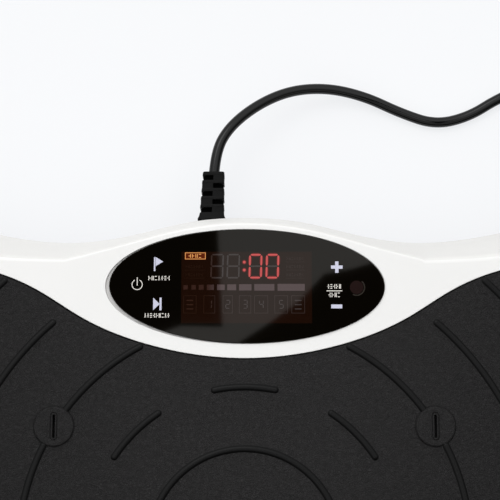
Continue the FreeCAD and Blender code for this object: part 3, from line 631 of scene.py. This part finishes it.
def sky():
    """Soft surroundings: bright overhead and behind the object, dark in front of it."""
    world = bpy.data.worlds.new("studio")
    bpy.context.scene.world = world
    world.use_nodes = True
    direction = node(world, "TexCoord").outputs["Generated"]

    def brightness(axis, steps):
        """Set by how far a direction points along the axis. The ramp holds half of each value."""
        along = node(world, "VectorMath", operation="DOT_PRODUCT")
        along.inputs[1].default_value = axis
        link(world, direction, along.inputs[0])
        ramp = node(world, "ValToRGB")
        elements = ramp.color_ramp.elements
        while len(elements) < len(steps):
            elements.new(0.5)
        for element, (along_axis, value) in zip(elements, steps):
            element.position = (along_axis + 1) / 2
            element.color = (value / 2, value / 2, value / 2, 1)
        link(world, spread_over(world, along.outputs["Value"], -1.0, 1.0), ramp.inputs["Fac"])
        return ramp.outputs["Color"]

    product = node(world, "Math", operation="MULTIPLY")
    link(world, brightness(LIT_SIDE, SKY_BY_SIDE), product.inputs[0])
    link(world, brightness((0.0, 0.0, 1.0), SKY_BY_HEIGHT), product.inputs[1])
    strength = node(world, "Math", operation="MULTIPLY")
    strength.inputs[1].default_value = 2 * 2 * SKY_STRENGTH
    link(world, product.outputs["Value"], strength.inputs[0])
    background = world.node_tree.nodes["Background"]
    background.inputs["Color"].default_value = (*SKY_TINT, 1)
    link(world, strength.outputs["Value"], background.inputs["Strength"])


FLAG_HEIGHT = 3.0
# what each flag covers in the lens's mirror image, in millimetres from the middle of the marks
LEFT_FLAG = [(-15.1, 40.0), (-11.9, -22.4), (-34.0, -21.8), (-50.0, -27.5), (-110.0, -41.0), (-110.0, 40.0)]
RIGHT_FLAG = [(-8.0, -34.0), (12.6, -20.5), (28.7, -8.7), (42.7, 6.3), (58.0, 9.2), (80.0, 16.0),
              (160.0, 16.0), (160.0, -520.0), (72.0, -520.0), (72.0, -45.0), (-8.0, -45.0)]


def flags():
    """Two black flags overhead, which the lens mirrors as its dark parts."""
    dark = material("flag_cloth", (0.01, 0.01, 0.01), 0.9, 0.1)
    for name, outline in (("left_flag", LEFT_FLAG), ("right_flag", RIGHT_FLAG)):
        staged_sheet(name, [overhead(x, y) for x, y in outline], LENS_TOP + FLAG_HEIGHT, dark)


TABLE_GLOW = 0.76
TABLE_REACH = 14000.0


def lit_table():
    """Translucent white table, lit from below, so shadows on it stay faint."""
    made = material("table_sheet", (0.19, 0.19, 0.19), 0.9, 0.1)
    inputs = shader_inputs(made)
    inputs["Emission Color"].default_value = (0.965, 0.978, 1.0, 1)
    inputs["Emission Strength"].default_value = TABLE_GLOW
    side = TABLE_REACH
    staged_sheet("floor", [(-side, -side), (side, -side), (side, side), (-side, side)], 0.0, made)


KEY_PLACE, KEY_AIM = Vector((-0.5, 1.6, 2.2)), Vector((0.0, 0.1, 0.05))
KEY_SIZE = (1.4, 1.0)
KEY_POWER = 10.0


def key_light():
    """Large weak softbox, above and behind the object."""
    data = bpy.data.lights.new("key", "AREA")
    data.shape = "RECTANGLE"
    data.size, data.size_y = KEY_SIZE
    data.energy = KEY_POWER
    lamp = add_object("key", data)
    lamp.location = KEY_PLACE
    lamp.rotation_euler = (KEY_PLACE - KEY_AIM).to_track_quat("Z", "Y").to_euler()


def studio():
    lit_table()
    sky()
    key_light()
    flags()
    bpy.context.scene.view_settings.view_transform = "Standard"
    bpy.context.scene.view_settings.look = "None"


# ---- white upper shell
# the side, lens socket and lip finishes are greyer copies of the white plastic, as painted shade
TOP_FINISH, SHADED_SIDE_FINISH, SHADED_RECESS_FINISH, SHADED_LIP_FINISH = range(4)
FILLET, BULGE_FILLET = 3.0 * MM, 1.5 * MM
WALL = 3.2 * MM
LIP = 1.6 * MM
SIDE_SWELL = 0.9 * MM
LENS_SOCKET = [(-0.2, 0.0), (-0.08, -0.03), (0.0, -0.15), (0.0, -1.3), (4.0, -1.3)]


def top_fillets():
    """Radius of the edge at each point of the crease: smaller round the console's bulge."""
    count = len(crease_loop())
    spans_apart = np.abs(np.arange(count) - (count - 3 * SPAN)) / SPAN
    share = np.clip((spans_apart - 2.4) / 1.6, 0.0, 1.0)[:, None]
    return BULGE_FILLET + (FILLET - BULGE_FILLET) * share


def shell(*finishes):
    """Top face, rounded crease, flared wall with a valley each side of the console, and lip. The wall, lip
    and lens socket take greyer whites as painted shade.
    """
    fillet = top_fillets()
    top, low = at(crease_loop(), RIM), at(skirt_loop(), SKIRT)
    top_in, low_in = at(inward(crease_loop()), 0.0), at(inward(skirt_loop()), 0.0)
    down = low - top
    down /= np.linalg.norm(down, axis=1)[:, None]
    below = top + down * fillet
    shape = Shape()
    edge_loops = bend(top + top_in * fillet, top, below, 6)
    edge = shape.skin(edge_loops[:3])[0]

    # painted shade: the flared wall takes a greyer white
    shape.current = SHADED_SIDE_FINISH
    lip_start = low - down * LIP
    side_loops = edge_loops[2:]
    for k in range(1, 15):
        t = k / 15
        side_loops.append(below + (lip_start - below) * t - low_in * SIDE_SWELL * sin(pi * t))
    shape.skin(side_loops + [lip_start])

    # painted shade: the lip and the inside take the greyest white
    shape.current = SHADED_LIP_FINISH
    foot = low + low_in * WALL + np.array([0, 0, 0.4 * MM])
    inside_top = top + top_in * (WALL + 1.0 * MM) - np.array([0, 0, 5.0 * MM])
    inside_loops = [foot + (inside_top - foot) * share for share in (0.0, 0.04, 0.3, 1.0)]
    shape.skin(bend(lip_start, low, low + low_in * LIP, 6) + inside_loops)

    shape.current = TOP_FINISH
    mat_edge = mat_loop()
    mat_in = inward(mat_edge)
    soft, bottom = 0.15 * MM, mat_low.z - 0.2 * MM
    recess = [at(mat_edge - mat_in * reach, RIM - soft + rise) for reach, rise in reversed(quarter(soft, 4))]
    recess += [at(mat_edge, bottom), at(mat_edge + mat_in * 6 * MM, bottom)]
    mat_rows = shape.skin([loop[::-1] for loop in recess])

    # painted shade: the lens socket takes a greyer white
    shape.current = SHADED_RECESS_FINISH
    rim = lens_ellipse(LENS_A + 1.1 * MM, LENS_B + 0.45 * MM) + np.array([-0.95, -0.3]) * MM
    rim_in = inward(rim)
    socket = [at(rim + rim_in * reach * MM, RIM + lift * MM)[::-1] for reach, lift in LENS_SOCKET]
    lens_rows = shape.skin(socket)

    shape.current = TOP_FINISH
    fill_between(shape, edge, [mat_rows[0]], [lens_rows[0]])
    piece = weld(shape.build("platform_cover", *finishes))
    finish_piece(piece, "platform", "white_shell", "upper_shell")


def fill_between(shape, outer, *holes):
    """Triangles at one height inside the outer chain of points and outside each hole.

    A hole is one chain, or the two chains of a ring; holes may overlap.
    """
    height = shape.points[outer[0]][2]
    flat, edges, outlines, source, owner = [], [], [], [], []
    for index, hole in enumerate([[outer], *holes]):
        for chain in hole:
            start, n = len(flat), len(chain)
            flat += [Vector(shape.points[i][:2]) / MM for i in chain]
            source += chain
            edges += [(start + i, start + (i + 1) % n) for i in range(n)]
            area = sum(a.cross(b) for a, b in zip(flat[start:], flat[start + 1:] + flat[start:start + 1]))
            order = list(range(start, start + n))
            outlines.append(order if area > 0 else order[::-1])
            owner.append(index)
    points, _, triangles, origin, _, inside_of = delaunay_2d_cdt(flat, edges, outlines, 0, 1e-6)
    place = [source[old[0]] if old else None for old in origin]
    for triangle, around in zip(triangles, inside_of):
        counts = [sum(owner[k] == index for k in around) for index in range(len(holes) + 1)]
        if counts[0] == 0 or any(count % 2 for count in counts[1:]):
            continue
        for i in triangle:
            if place[i] is None:
                place[i] = shape.loop([(points[i].x * MM, points[i].y * MM, height)])[0]
        shape.face([place[i] for i in triangle], True)


def inside(outline, point):
    """Whether a line from the point to the right crosses the outline an odd number of times."""
    x, y = outline[:, 0], outline[:, 1]
    x2, y2 = np.roll(x, -1), np.roll(y, -1)
    crosses = (y > point[1]) != (y2 > point[1])
    with np.errstate(divide="ignore", invalid="ignore"):
        at_x = x + (point[1] - y) * (x2 - x) / (y2 - y)
    return np.count_nonzero(crosses & (point[0] < at_x)) % 2 == 1


# ---- mat
# the finish of the mat's rounded edge is painted shade
RUBBER_FINISH, BEAD_FINISH, SHADED_EDGE_FINISH = range(3)
MIDDLE_RING = 50.0 * MM
DASH_RADIUS = 82.5 * MM
DASHES = 8
DASH_HALF = 11.3
# each ring's radius, and how far it stays from the mat's edge
RINGS = ((118.0, 2.3), (155.5, 10.2), (190.0, 2.3), (225.0, 5.0), (260.0, 5.0))
MARKERS = [(sx * 100.8 * MM, sy * 61.7 * MM) for sx in (-1, 1) for sy in (-1, 1)]
MARKER_RADIUS = 10.8 * MM
BEAD_PROFILE = [(1.95, 0.0), (1.85, 0.02), (1.72, 0.12), (1.5, 0.33), (1.25, 0.52), (0.95, 0.69),
                (0.65, 0.80), (0.32, 0.86), (0.0, 0.88)]
END_STEPS = 10


def ring_bead(shape, radius):
    """Rounded bead right round a circle."""
    profile = BEAD_PROFILE + [(-reach, height) for reach, height in BEAD_PROFILE[-2::-1]]
    loops = [at(circle(radius + reach * MM, 160), MAT_TOP + height * MM) for reach, height in profile]
    rows = shape.skin(loops)
    return [rows[0], rows[-1]]


def arc_bead(shape, radius, start, end):
    """The same bead along an arc from one angle to the other, in degrees, with round ends."""
    steps = max(8, int(radius * radians(end - start) / (2.2 * MM)))
    angles = [radians(start + (end - start) * i / steps) for i in range(steps + 1)]

    def outline(reach):
        outer = [polar(radius + reach, a) for a in angles]
        inner = [polar(radius - reach, a) for a in angles[::-1]]
        return np.array(outer + round_end(radius, angles[-1], reach, 1)
                        + inner + round_end(radius, angles[0], reach, -1))

    rows = shape.skin([at(outline(reach * MM), MAT_TOP + height * MM) for reach, height in BEAD_PROFILE])
    return [rows[0]]


def round_end(radius, angle, reach, way):
    """Half circle round the end of an arc, between the arc's two sides."""
    outwards = Vector(polar(way, angle))
    along = Vector((-outwards.y, outwards.x))
    middle = Vector(polar(radius, angle))
    turns = [pi * j / END_STEPS for j in range(1, END_STEPS)]
    return [tuple(middle + outwards * reach * cos(t) + along * reach * sin(t)) for t in turns]


def clear_spans(radius, edge):
    """Angles over which a ring stays clear of the mat's edge and of the markers."""
    step = 0.25
    spans, start = [], None
    for k in range(int(360 / step) + 1):
        angle = radians(k * step)
        spot = polar(radius, angle)
        free = inside(edge, spot) and all(dist(spot, m) > MARKER_RADIUS for m in MARKERS)
        if free and start is None:
            start = k * step
        if not free and start is not None:
            spans.append((start, (k - 1) * step))
            start = None
    if start is not None:
        first = spans.pop(0) if spans and spans[0][0] == 0 else (0, 0)
        spans.append((start, 360 + first[1]))
    return [s for s in spans if s[1] - s[0] > 2.0]


def stadium(half_width, half_length):
    """Upright slot outline whose points match circle()'s points."""
    straight = half_length - half_width
    eighth = ROUND_POINTS // 8
    points = []
    for i in range(ROUND_POINTS):
        angle = 2 * pi * i / ROUND_POINTS
        turned = (i + eighth) % (4 * eighth)
        if turned < 2 * eighth:
            side = 1 if cos(angle) > 0 else -1
            points.append((side * half_width, side * (turned - eighth) / eighth * straight))
        else:
            way = 1 if sin(angle) >= 0 else -1
            turn = pi * (turned - 2 * eighth) / (2 * eighth)
            x, y = half_width * cos(turn), straight + half_width * sin(turn)
            points.append((way * x, way * y))
    return np.array(points)


# reach beyond the marker's radius, and height; then half width, half length and height
MARKER_SIDE = [(0.3, 0.0), (0.2, -0.03), (0.1, -0.14), (0.0, -0.14), (-0.12, 0.1), (-0.3, 0.5),
               (-0.55, 0.85), (-0.9, 1.02), (-1.4, 1.05)]
MARKER_SLOT = [(2.15, 7.6, 0.95), (2.02, 7.48, 0.9), (1.88, 7.34, 0.35), (1.66, 7.12, 0.3),
               (1.52, 6.98, 0.72), (1.38, 6.84, 0.8), (0.80, 6.26, 0.8), (0.68, 6.14, 0.7),
               (0.62, 6.08, -0.4), (0.5, 5.9, -3.4)]


def marker(shape, x, y):
    """Raised disc with a grooved slot round a slit."""
    centre = np.array([x, y, MAT_TOP])
    loops = [at(circle(MARKER_RADIUS + reach * MM), height * MM) for reach, height in MARKER_SIDE]
    loops += [at(stadium(width * MM, length * MM), height * MM) for width, length, height in MARKER_SLOT]
    rows = shape.skin([loop + centre for loop in loops], cap_end=True)
    return [rows[0]]


def mat(rubber, bead, edge_painted_shade):
    """Flat rubber mat with a rounded edge, ring and dash beads, and markers; the rounded edge is painted
    near-black as painted shade.
    """
    edge = mat_loop()
    normal = inward(edge)
    shape = Shape()
    # painted shade: the rounded edge of the mat takes a near-black finish
    shape.current = SHADED_EDGE_FINISH
    inset, soft = 0.2 * MM, 0.75 * MM
    loops = [at(edge + normal * inset, mat_low.z)]
    for reach, rise in quarter(soft, 5):
        loops.append(at(edge + normal * (inset + reach), MAT_TOP - soft + rise))
    rows = shape.skin([loop[::-1] for loop in loops], cap_start=True)
    shape.current = BEAD_FINISH
    features = [ring_bead(shape, MIDDLE_RING)]
    for i in range(DASHES):
        middle = 360.0 * i / DASHES
        features.append(arc_bead(shape, DASH_RADIUS, middle - DASH_HALF, middle + DASH_HALF))
    for radius, margin in RINGS:
        for start, end in clear_spans(radius * MM, edge + normal * margin * MM):
            features.append(arc_bead(shape, radius * MM, start, end))
    shape.current = RUBBER_FINISH
    features += [marker(shape, x, y) for x, y in MARKERS]
    fill_between(shape, rows[-1], *features)
    piece = weld(shape.build("deck_mat", rubber, bead, edge_painted_shade))
    finish_piece(piece, "platform", "deck_mat", "mat")


# ---- console
LENS_TURN = radians(-0.48)
LENS_WIDER = 0.3 * MM
LENS_SOFT = 0.3 * MM


def lens(black):
    """The lens, turned a little in its socket."""
    shape = Shape()
    middle = np.array([LENS_X, LENS_Y])
    c, s = cos(LENS_TURN), sin(LENS_TURN)
    edge = (lens_ellipse(LENS_A, LENS_B + LENS_WIDER) - middle) @ np.array([[c, s], [-s, c]])
    edge += middle - np.array([0.0, LENS_WIDER])
    normal = inward(edge)
    loops = [at(edge, lens_low.z)]
    for reach, rise in quarter(LENS_SOFT, 4):
        loops.append(at(edge + normal * reach, LENS_TOP - LENS_SOFT + rise))
    shape.skin([loop[::-1] for loop in loops], cap_start=True, cap_end=True)
    finish_piece(shape.build("console_window", black), "platform", "lens_black", "console_lens")


PRINT_LIFT, TINT_LIFT = 0.03 * MM, 0.02 * MM
PRINT_DEPTH = 0.1 * MM
SEGMENT_GAP = 0.28
DIGIT_SLANT = 0.03
ARC_PARTS, DISC_PARTS = 40, 32


class Marks:
    """Flat printed marks on the lens; places in millimetres from its middle."""

    def __init__(self, lift=PRINT_LIFT):
        self.shape, self.top = Shape(), LENS_TOP + lift

    def plate(self, outline):
        top = [(MARKS_X + x * MM, MARKS_Y + y * MM, self.top) for x, y in outline]
        low = [(x, y, self.top - PRINT_DEPTH) for x, y, z in top]
        self.shape.skin([low, top], cap_start=True, cap_end=True)

    def bar(self, x0, x1, y0, y1):
        self.plate([(x0, y0), (x1, y0), (x1, y1), (x0, y1)])

    def frame(self, x0, x1, y0, y1, width):
        self.bar(x0, x1, y0, y0 + width)
        self.bar(x0, x1, y1 - width, y1)
        self.bar(x0, x0 + width, y0 + width, y1 - width)
        self.bar(x1 - width, x1, y0 + width, y1 - width)

    def arc(self, x, y, radius, width, start, end):
        angles = [radians(start + (end - start) * i / ARC_PARTS) for i in range(ARC_PARTS + 1)]
        for a, b in zip(angles, angles[1:]):
            low, high = radius - width / 2, radius + width / 2
            self.plate([polar(r, t, (x, y)) for r, t in ((low, a), (high, a), (high, b), (low, b))])

    def disc(self, x, y, radius):
        self.plate(circle(radius, DISC_PARTS, (x, y)))

    def words(self, x, y, width, height, letters, stroke=0.42):
        """A row of made-up signs where a caption would be."""
        pitch = width / letters
        wide = pitch * 0.66
        low, high, middle = y - height / 2, y + height / 2, y - stroke / 2
        for i in range(letters):
            left = x - width / 2 + pitch * i
            right = left + wide
            strokes = {"l": (left, left + stroke, low, high), "r": (right - stroke, right, low, high),
                       "t": (left, right, high - stroke, high), "m": (left, right, middle, middle + stroke),
                       "b": (left, right, low, low + stroke),
                       "c": (left + (wide - stroke) / 2, left + (wide + stroke) / 2, low, high)}
            for name in SIGN_STROKES[(i * 3 + letters) % len(SIGN_STROKES)]:
                self.bar(*strokes[name])

    def digit(self, x, y, width, height, stroke, lit):
        """Slanted seven-segment digit from its lower left corner; lit names the segments to draw."""
        s, gap = stroke / 2, stroke * SEGMENT_GAP
        left, right = x + s, x + width - s
        low, middle, high = y + s, y + height / 2, y + height - s
        ends = {"a": (left, high, right, high), "b": (right, middle, right, high),
                "c": (right, low, right, middle), "d": (left, low, right, low),
                "e": (left, low, left, middle), "f": (left, middle, left, high),
                "g": (left, middle, right, middle)}
        for name in lit:
            start, end = Vector(ends[name][:2]), Vector(ends[name][2:])
            along = (end - start).normalized()
            side, start, end = Vector((along.y, -along.x)) * s, start + along * gap, end - along * gap
            near, far = start + along * s, end - along * s
            outline = [start, near + side, far + side, end, far - side, near - side]
            level = name in "adg"
            self.plate([(u + ((start.y if level else v) - y) * DIGIT_SLANT, v) for u, v in outline])

    def build(self, name, made, slot="led_module"):
        piece = self.shape.build(name, made)
        piece.data.shade_flat()
        finish_piece(piece, "platform", slot)


# strokes of each sign: left, right, top, middle, bottom, centre
SIGN_STROKES = ["lm", "tmb", "cb", "lr", "mr", "cm", "tb"]
SEGMENTS = {"0": "abcdef", "1": "bc", "2": "abdeg", "3": "abcdg", "4": "bcfg", "5": "acdfg", "8": "abcdefg"}
DIM_DIGITS, LIT_DIGITS = (-18.6, -9.9), (2.0, 11.1)
DIGIT_LOW, DIGIT_WIDTH, DIGIT_HEIGHT = 3.8, 7.1, 13.4
LEVEL_BARS = [(-32.9, -30.6), (-28.6, -26.3), (-24.7, -22.1), (-20.4, -16.6), (-14.9, -10.8), (-9.4, -4.6),
              (-3.1, 3.6), (5.1, 15.9), (17.6, 32.2)]
BOXES = [(-32.9, -25.9), (-22.1, -15.9), (-11.8, -6.5), (-3.1, 3.4), (5.1, 12.5), (15.9, 23.1), (25.0, 32.2)]


def touch_marks(key_print, caption_print):
    """Power, program, start and pause, plus and minus marks, and rows of signs for captions."""
    keys = Marks()
    keys.bar(-48.9, -48.1, 7.8, 15.4)
    keys.plate([(-47.9, 10.6), (-43.9, 13.0), (-47.9, 15.4)])
    keys.plate([(-49.1, -13.4), (-45.6, -10.0), (-49.1, -6.6)])
    keys.bar(-45.7, -44.6, -13.4, -6.6)
    keys.bar(46.4, 52.6, 9.1, 10.9)
    keys.bar(48.6, 50.4, 6.9, 9.1)
    keys.bar(48.6, 50.4, 10.9, 13.1)
    keys.bar(46.3, 52.2, -12.4, -10.3)
    keys.build("key_marks", key_print, "lens_black")

    captions = Marks()
    captions.arc(-57.8, 0.5, 2.75, 0.42, 118, 422)
    captions.bar(-58.0, -57.55, -0.1, 4.4)
    captions.words(-45.8, 4.0, 12.0, 2.3, 7)
    captions.words(-46.8, -16.2, 14.0, 2.3, 9)
    captions.words(48.3, -0.5, 7.7, 2.4, 5)
    captions.bar(43.9, 52.3, -3.15, -2.7)
    captions.words(48.2, -5.1, 6.6, 2.4, 4)
    captions.build("caption_marks", caption_print, "lens_black")


def display_window():
    """The tinted area that the display shines through."""
    glass = Marks(0.012 * MM)
    glass.bar(-34.1, 36.0, -20.4, 18.4)
    glass.build("display_window", behind_lens("display_tint", (0.0105, 0.0035, 0.0016)))


def unlit_display():
    """Unlit digits, program boxes, fine rows of signs and level bars."""
    faint = Marks()
    for x in DIM_DIGITS:
        faint.digit(x, DIGIT_LOW, 7.0, DIGIT_HEIGHT, 0.8, SEGMENTS["8"])
    for x in LIT_DIGITS:
        faint.digit(x, DIGIT_LOW, DIGIT_WIDTH, DIGIT_HEIGHT, 0.8, "g")
    for i, (x0, x1) in enumerate(BOXES):
        middle = (x0 + x1) / 2
        if 0 < i < len(BOXES) - 1:
            faint.digit(middle - 1.3, -12.6, 2.6, 4.8, 0.5, SEGMENTS[str(i)])
        else:
            for k in range(3):
                faint.bar(middle - 1.8, middle + 1.8, -13.0 + 2.3 * k, -12.4 + 2.3 * k)
    faint.build("display_dim_marks", unlit_print("unlit_marks", (0.03, 0.013, 0.008), (0.044, 0.036, 0.035)))

    fine = Marks(PRINT_LIFT + 0.005 * MM)
    for y in (14.6, 10.2, 5.8):
        fine.words(27.15, y, 9.4, 1.5, 7, 0.22)
        fine.bar(22.2, 32.1, y - 1.9, y - 1.75)
        if y < 14:
            fine.words(-27.0, y, 9.6, 1.5, 7, 0.22)
            fine.bar(-32.5, -21.5, y - 1.9, y - 1.75)
    for x0, x1 in BOXES:
        fine.frame(x0, x1, -15.1, -5.4, 0.3)
    fine.build("display_fine_marks", unlit_print("fine_marks", (0.021, 0.009, 0.005), (0.031, 0.021, 0.019)))

    levels = Marks()
    for i, (x0, x1) in enumerate(LEVEL_BARS):
        half = 1.15 + 0.09 * i
        levels.bar(x0, x1, -1.0 - half, -1.0 + half)
    made = unlit_print("unlit_bars", (0.034, 0.0145, 0.0105), (0.075, 0.052, 0.053))
    levels.build("display_level_bars", made)


def lit_display():
    """An amber sign in a frame, and two red digits after a colon, each with a haze behind it."""
    haze, sign = Marks(TINT_LIFT), Marks()
    haze.bar(-32.4, -20.9, 14.05, 18.15)
    haze.build("display_amber_glow", glowing("amber_haze", (1.0, 0.13, 0.01), 0.085))
    sign.frame(-32.2, -21.1, 14.25, 17.95, 0.34)
    sign.words(-26.6, 16.1, 7.4, 2.1, 4, 0.4)
    sign.build("display_time_sign", glowing("amber_glow", (1.0, 0.45, 0.14), 0.85))

    haze, lit = Marks(TINT_LIFT), Marks()
    for marks, spread in ((haze, 0.5), (lit, 0.0)):
        width, height = DIGIT_WIDTH + 2 * spread, DIGIT_HEIGHT + 2 * spread
        for x in LIT_DIGITS:
            marks.digit(x - spread, DIGIT_LOW - spread, width, height, 0.95 + 2 * spread, SEGMENTS["0"])
        for y in (12.7, 8.4):
            marks.disc(-0.3, y, 0.75 + spread)
    haze.build("display_red_glow", glowing("red_haze", (1.0, 0.05, 0.05), 0.09))
    lit.build("display_lit_digits", glowing("red_glow", (1.0, 0.135, 0.135), 0.6))


INFRARED = (60.0, -1.0)


def infrared_window(tint, painted_rim_highlight):
    """Tinted disc, with a pale crescent on the right of its rim that is a painted highlight."""
    disc = Marks(TINT_LIFT)
    disc.disc(*INFRARED, 3.6)
    disc.build("infrared_window", tint, "lens_black")
    # painted highlight: a pale crescent on the rim
    crescent = Marks()
    crescent.arc(*INFRARED, 4.3, 0.7, -118, 48)
    crescent.build("infrared_painted_highlight", painted_rim_highlight, "lens_black")


# ---- base
TRAY_INSET = 13.5 * MM
TRAY_GROOVE = [(26.0, 0.0), (26.6, 0.8), (28.6, 0.8), (29.2, 0.0)]
TRAY_TOP = [(45.0, 0.0), (57.0, 0.0), (58.0, 1.0)]
BOSS_HEIGHT = 29.0
BOSS = [(172.0, 1.0), (188.2, 1.0), (189.0, 0.975), (189.4, 0.93)]


def base_tray(black):
    """Black tray under the skirt, with a rounded bottom edge and a groove round it."""
    loop = skirt_loop()
    back = loop[:, 1].max()
    wall = loop * [tray_high.x / (HALF_LENGTH * MM), (back - TRAY_INSET) / back]
    normal = inward(wall)
    soft = 4.0 * MM
    loops = [at(wall + normal * 9 * MM, tray_low.z)]
    for reach, rise in reversed(quarter(soft, 5)):
        loops.append(at(wall + normal * reach, tray_low.z + soft - rise))
    for z, reach in TRAY_GROOVE + TRAY_TOP:
        loops.append(at(wall + normal * reach * MM, z * MM))
    rim = wall + normal * 3.0 * MM
    loops += [at(rim, tray_high.z), at(rim, tray_low.z + 4 * MM)]
    shape = Shape()
    shape.skin([line[::-1] for line in loops], cap_start=True, cap_end=True)
    finish_piece(shape.build("base_tray", black), "base", "base_plastic", "lower_shell")


def cord_entry(black):
    """Boss on the back of the tray that holds the strain relief."""
    loops = []
    for y, share in BOSS:
        outline = section_points(12.0 * share, 13.3 * share, 5.0, 56)
        loops.append([(RELIEF.x + u * MM, y * MM, (BOSS_HEIGHT + v) * MM) for u, v in outline])
    boss = Shape()
    boss.skin(loops, cap_start=True, cap_end=True)
    finish_piece(boss.build("cord_entry", black), "base", "base_plastic")


# radius and height of a foot's outline, from the recess for its screw to its top
FOOT = [(7.5, 3.6), (7.5, 0.3), (8.2, 0.0), (11.0, 0.0), (11.4, 0.8), (12.4, 0.8), (12.8, 0.0),
        (18.2, 0.0), (18.9, 0.5), (18.9, 1.4), (18.3, 2.6), (17.2, 6.0), (16.4, 10.2), (16.0, 12.0)]
FOOT_RADIUS = 19 * MM


def feet(rubber):
    shape = Shape()
    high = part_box("rubber_feet")[1]
    x, y = high.x - FOOT_RADIUS, high.y - FOOT_RADIUS
    for sx, sy in ((-1, -1), (-1, 1), (1, -1), (1, 1)):
        loops = [at(circle(radius * MM, 48, (sx * x, sy * y)), z * MM) for radius, z in FOOT]
        shape.skin(loops, cap_start=True, cap_end=True)
    finish_piece(shape.build("foot_pads", rubber), "base", "black_rubber", "rubber_feet")


# ---- finishes of the pieces inside
def inner_finishes():
    """One procedural material for each of the record's slots that inner pieces use."""
    return {
        "foam_seal": moulded("foam_seal", (0.03, 0.03, 0.03), 0.85, 0.2, 1500.0, 0.1),
        "circuit_board": moulded("solder_mask", (0.02, 0.13, 0.05), 0.35, 0.5, 500.0, 0.01),
        "components": moulded("component_black", (0.02, 0.02, 0.022), 0.4),
        "led_module": moulded("module_case", (0.03, 0.027, 0.025), 0.5),
        "spring_steel": metal("spring_steel", (0.62, 0.62, 0.63), 0.3),
        "zinc_fastener": metal("zinc_plate", (0.66, 0.66, 0.64), 0.32),
        "coated_steel": moulded("powder_coat", (0.03, 0.03, 0.033), 0.5, 0.5, 700.0, 0.05),
        "bright_steel": metal("turned_steel", (0.58, 0.58, 0.60), 0.25),
        "bearing_steel": metal("ground_steel", (0.70, 0.70, 0.72), 0.15),
        "bronze": metal("bush_bronze", (0.55, 0.36, 0.16), 0.35),
        "black_rubber": moulded("buffer_rubber", (0.018, 0.018, 0.018), 0.75, 0.3),
        "cast_alloy": metal("cast_alloy", (0.60, 0.61, 0.63), 0.45, 500.0),
        "motor_paint": moulded("motor_paint", (0.05, 0.055, 0.06), 0.4),
        "core_iron": metal("laminated_iron", (0.22, 0.21, 0.21), 0.55),
        "copper": metal("enamelled_copper", (0.72, 0.30, 0.12), 0.3),
        "belt_rubber": moulded("belt_rubber", (0.015, 0.015, 0.015), 0.7, 0.3),
        "cord_pvc": moulded("inner_lead", (0.012, 0.012, 0.012), 0.45),
    }


def dress_inner_pieces():
    finishes = inner_finishes()
    slots = {row["node"]: row["material_slot"] for row in frame["record"]["subparts"]}
    for name, piece in frame["nodes"].items():
        if slots[name] in finishes:
            piece.data.materials.clear()
            piece.data.materials.append(finishes[slots[name]])


# ---- everything
def main():
    camera()
    cord_black = moulded("cord_vinyl", (0.0012, 0.0012, 0.0012), 0.13, 0.27, 1200.0, 0.004, 0.03)
    flex = cord(cord_black)
    prong_metal = metal("nickel_brass", (0.72, 0.68, 0.58), 0.22)
    body, pins = plug(cord_black, prong_metal)
    guard = strain_relief(moulded("guard_vinyl", (0.0020, 0.0020, 0.0020), 0.5, 0.10, 900.0, 0.04),
                          # darker vinyl for the pocket floors: painted shade
                          moulded("guard_pocket_painted_shade", (0.0008, 0.0008, 0.0008), 0.6, 0.03))
    studio()
    dress_inner_pieces()
    shell(moulded("white_gloss", (0.875, 0.868, 0.85), 0.24, 0.35, 260.0, 0.012, 0.03),
          # greyer whites for the wall, lens socket and lip: painted shade
          moulded("white_side_painted_shade", (0.77, 0.76, 0.737), 0.5, 0.15, 700.0, 0.02, 0.04),
          moulded("white_recess_painted_shade", (0.68, 0.67, 0.655), 0.4, 0.25, 700.0, 0.02, 0.04),
          moulded("white_lip_painted_shade", (0.58, 0.57, 0.56), 0.4, 0.25, 700.0, 0.02, 0.04))
    # near-black finish on the mat's rounded edge: painted shade
    mat(leather_rubber(), bead_rubber(), moulded("edge_painted_shade", (0.0012, 0.0012, 0.0012), 0.6, 0.05))
    lens(behind_lens("lens_gloss", (0.0020, 0.0014, 0.0007)))
    touch_marks(behind_lens("key_print", (0.62, 0.62, 0.75)),
                behind_lens("caption_print", (0.82, 0.78, 0.72)))
    display_window()
    unlit_display()
    lit_display()
    infrared_window(behind_lens("infrared_tint", (0.0158, 0.0082, 0.0075)),
                    # pale crescent on the infrared rim: painted highlight
                    behind_lens("infrared_rim_painted_highlight", (0.027, 0.023, 0.019)))
    base_black = moulded("base_black", (0.022, 0.022, 0.024), 0.5, 0.5, 900.0, 0.05)
    base_tray(base_black)
    cord_entry(base_black)
    feet(moulded("foot_rubber", (0.02, 0.02, 0.02), 0.7, 0.35))


main()
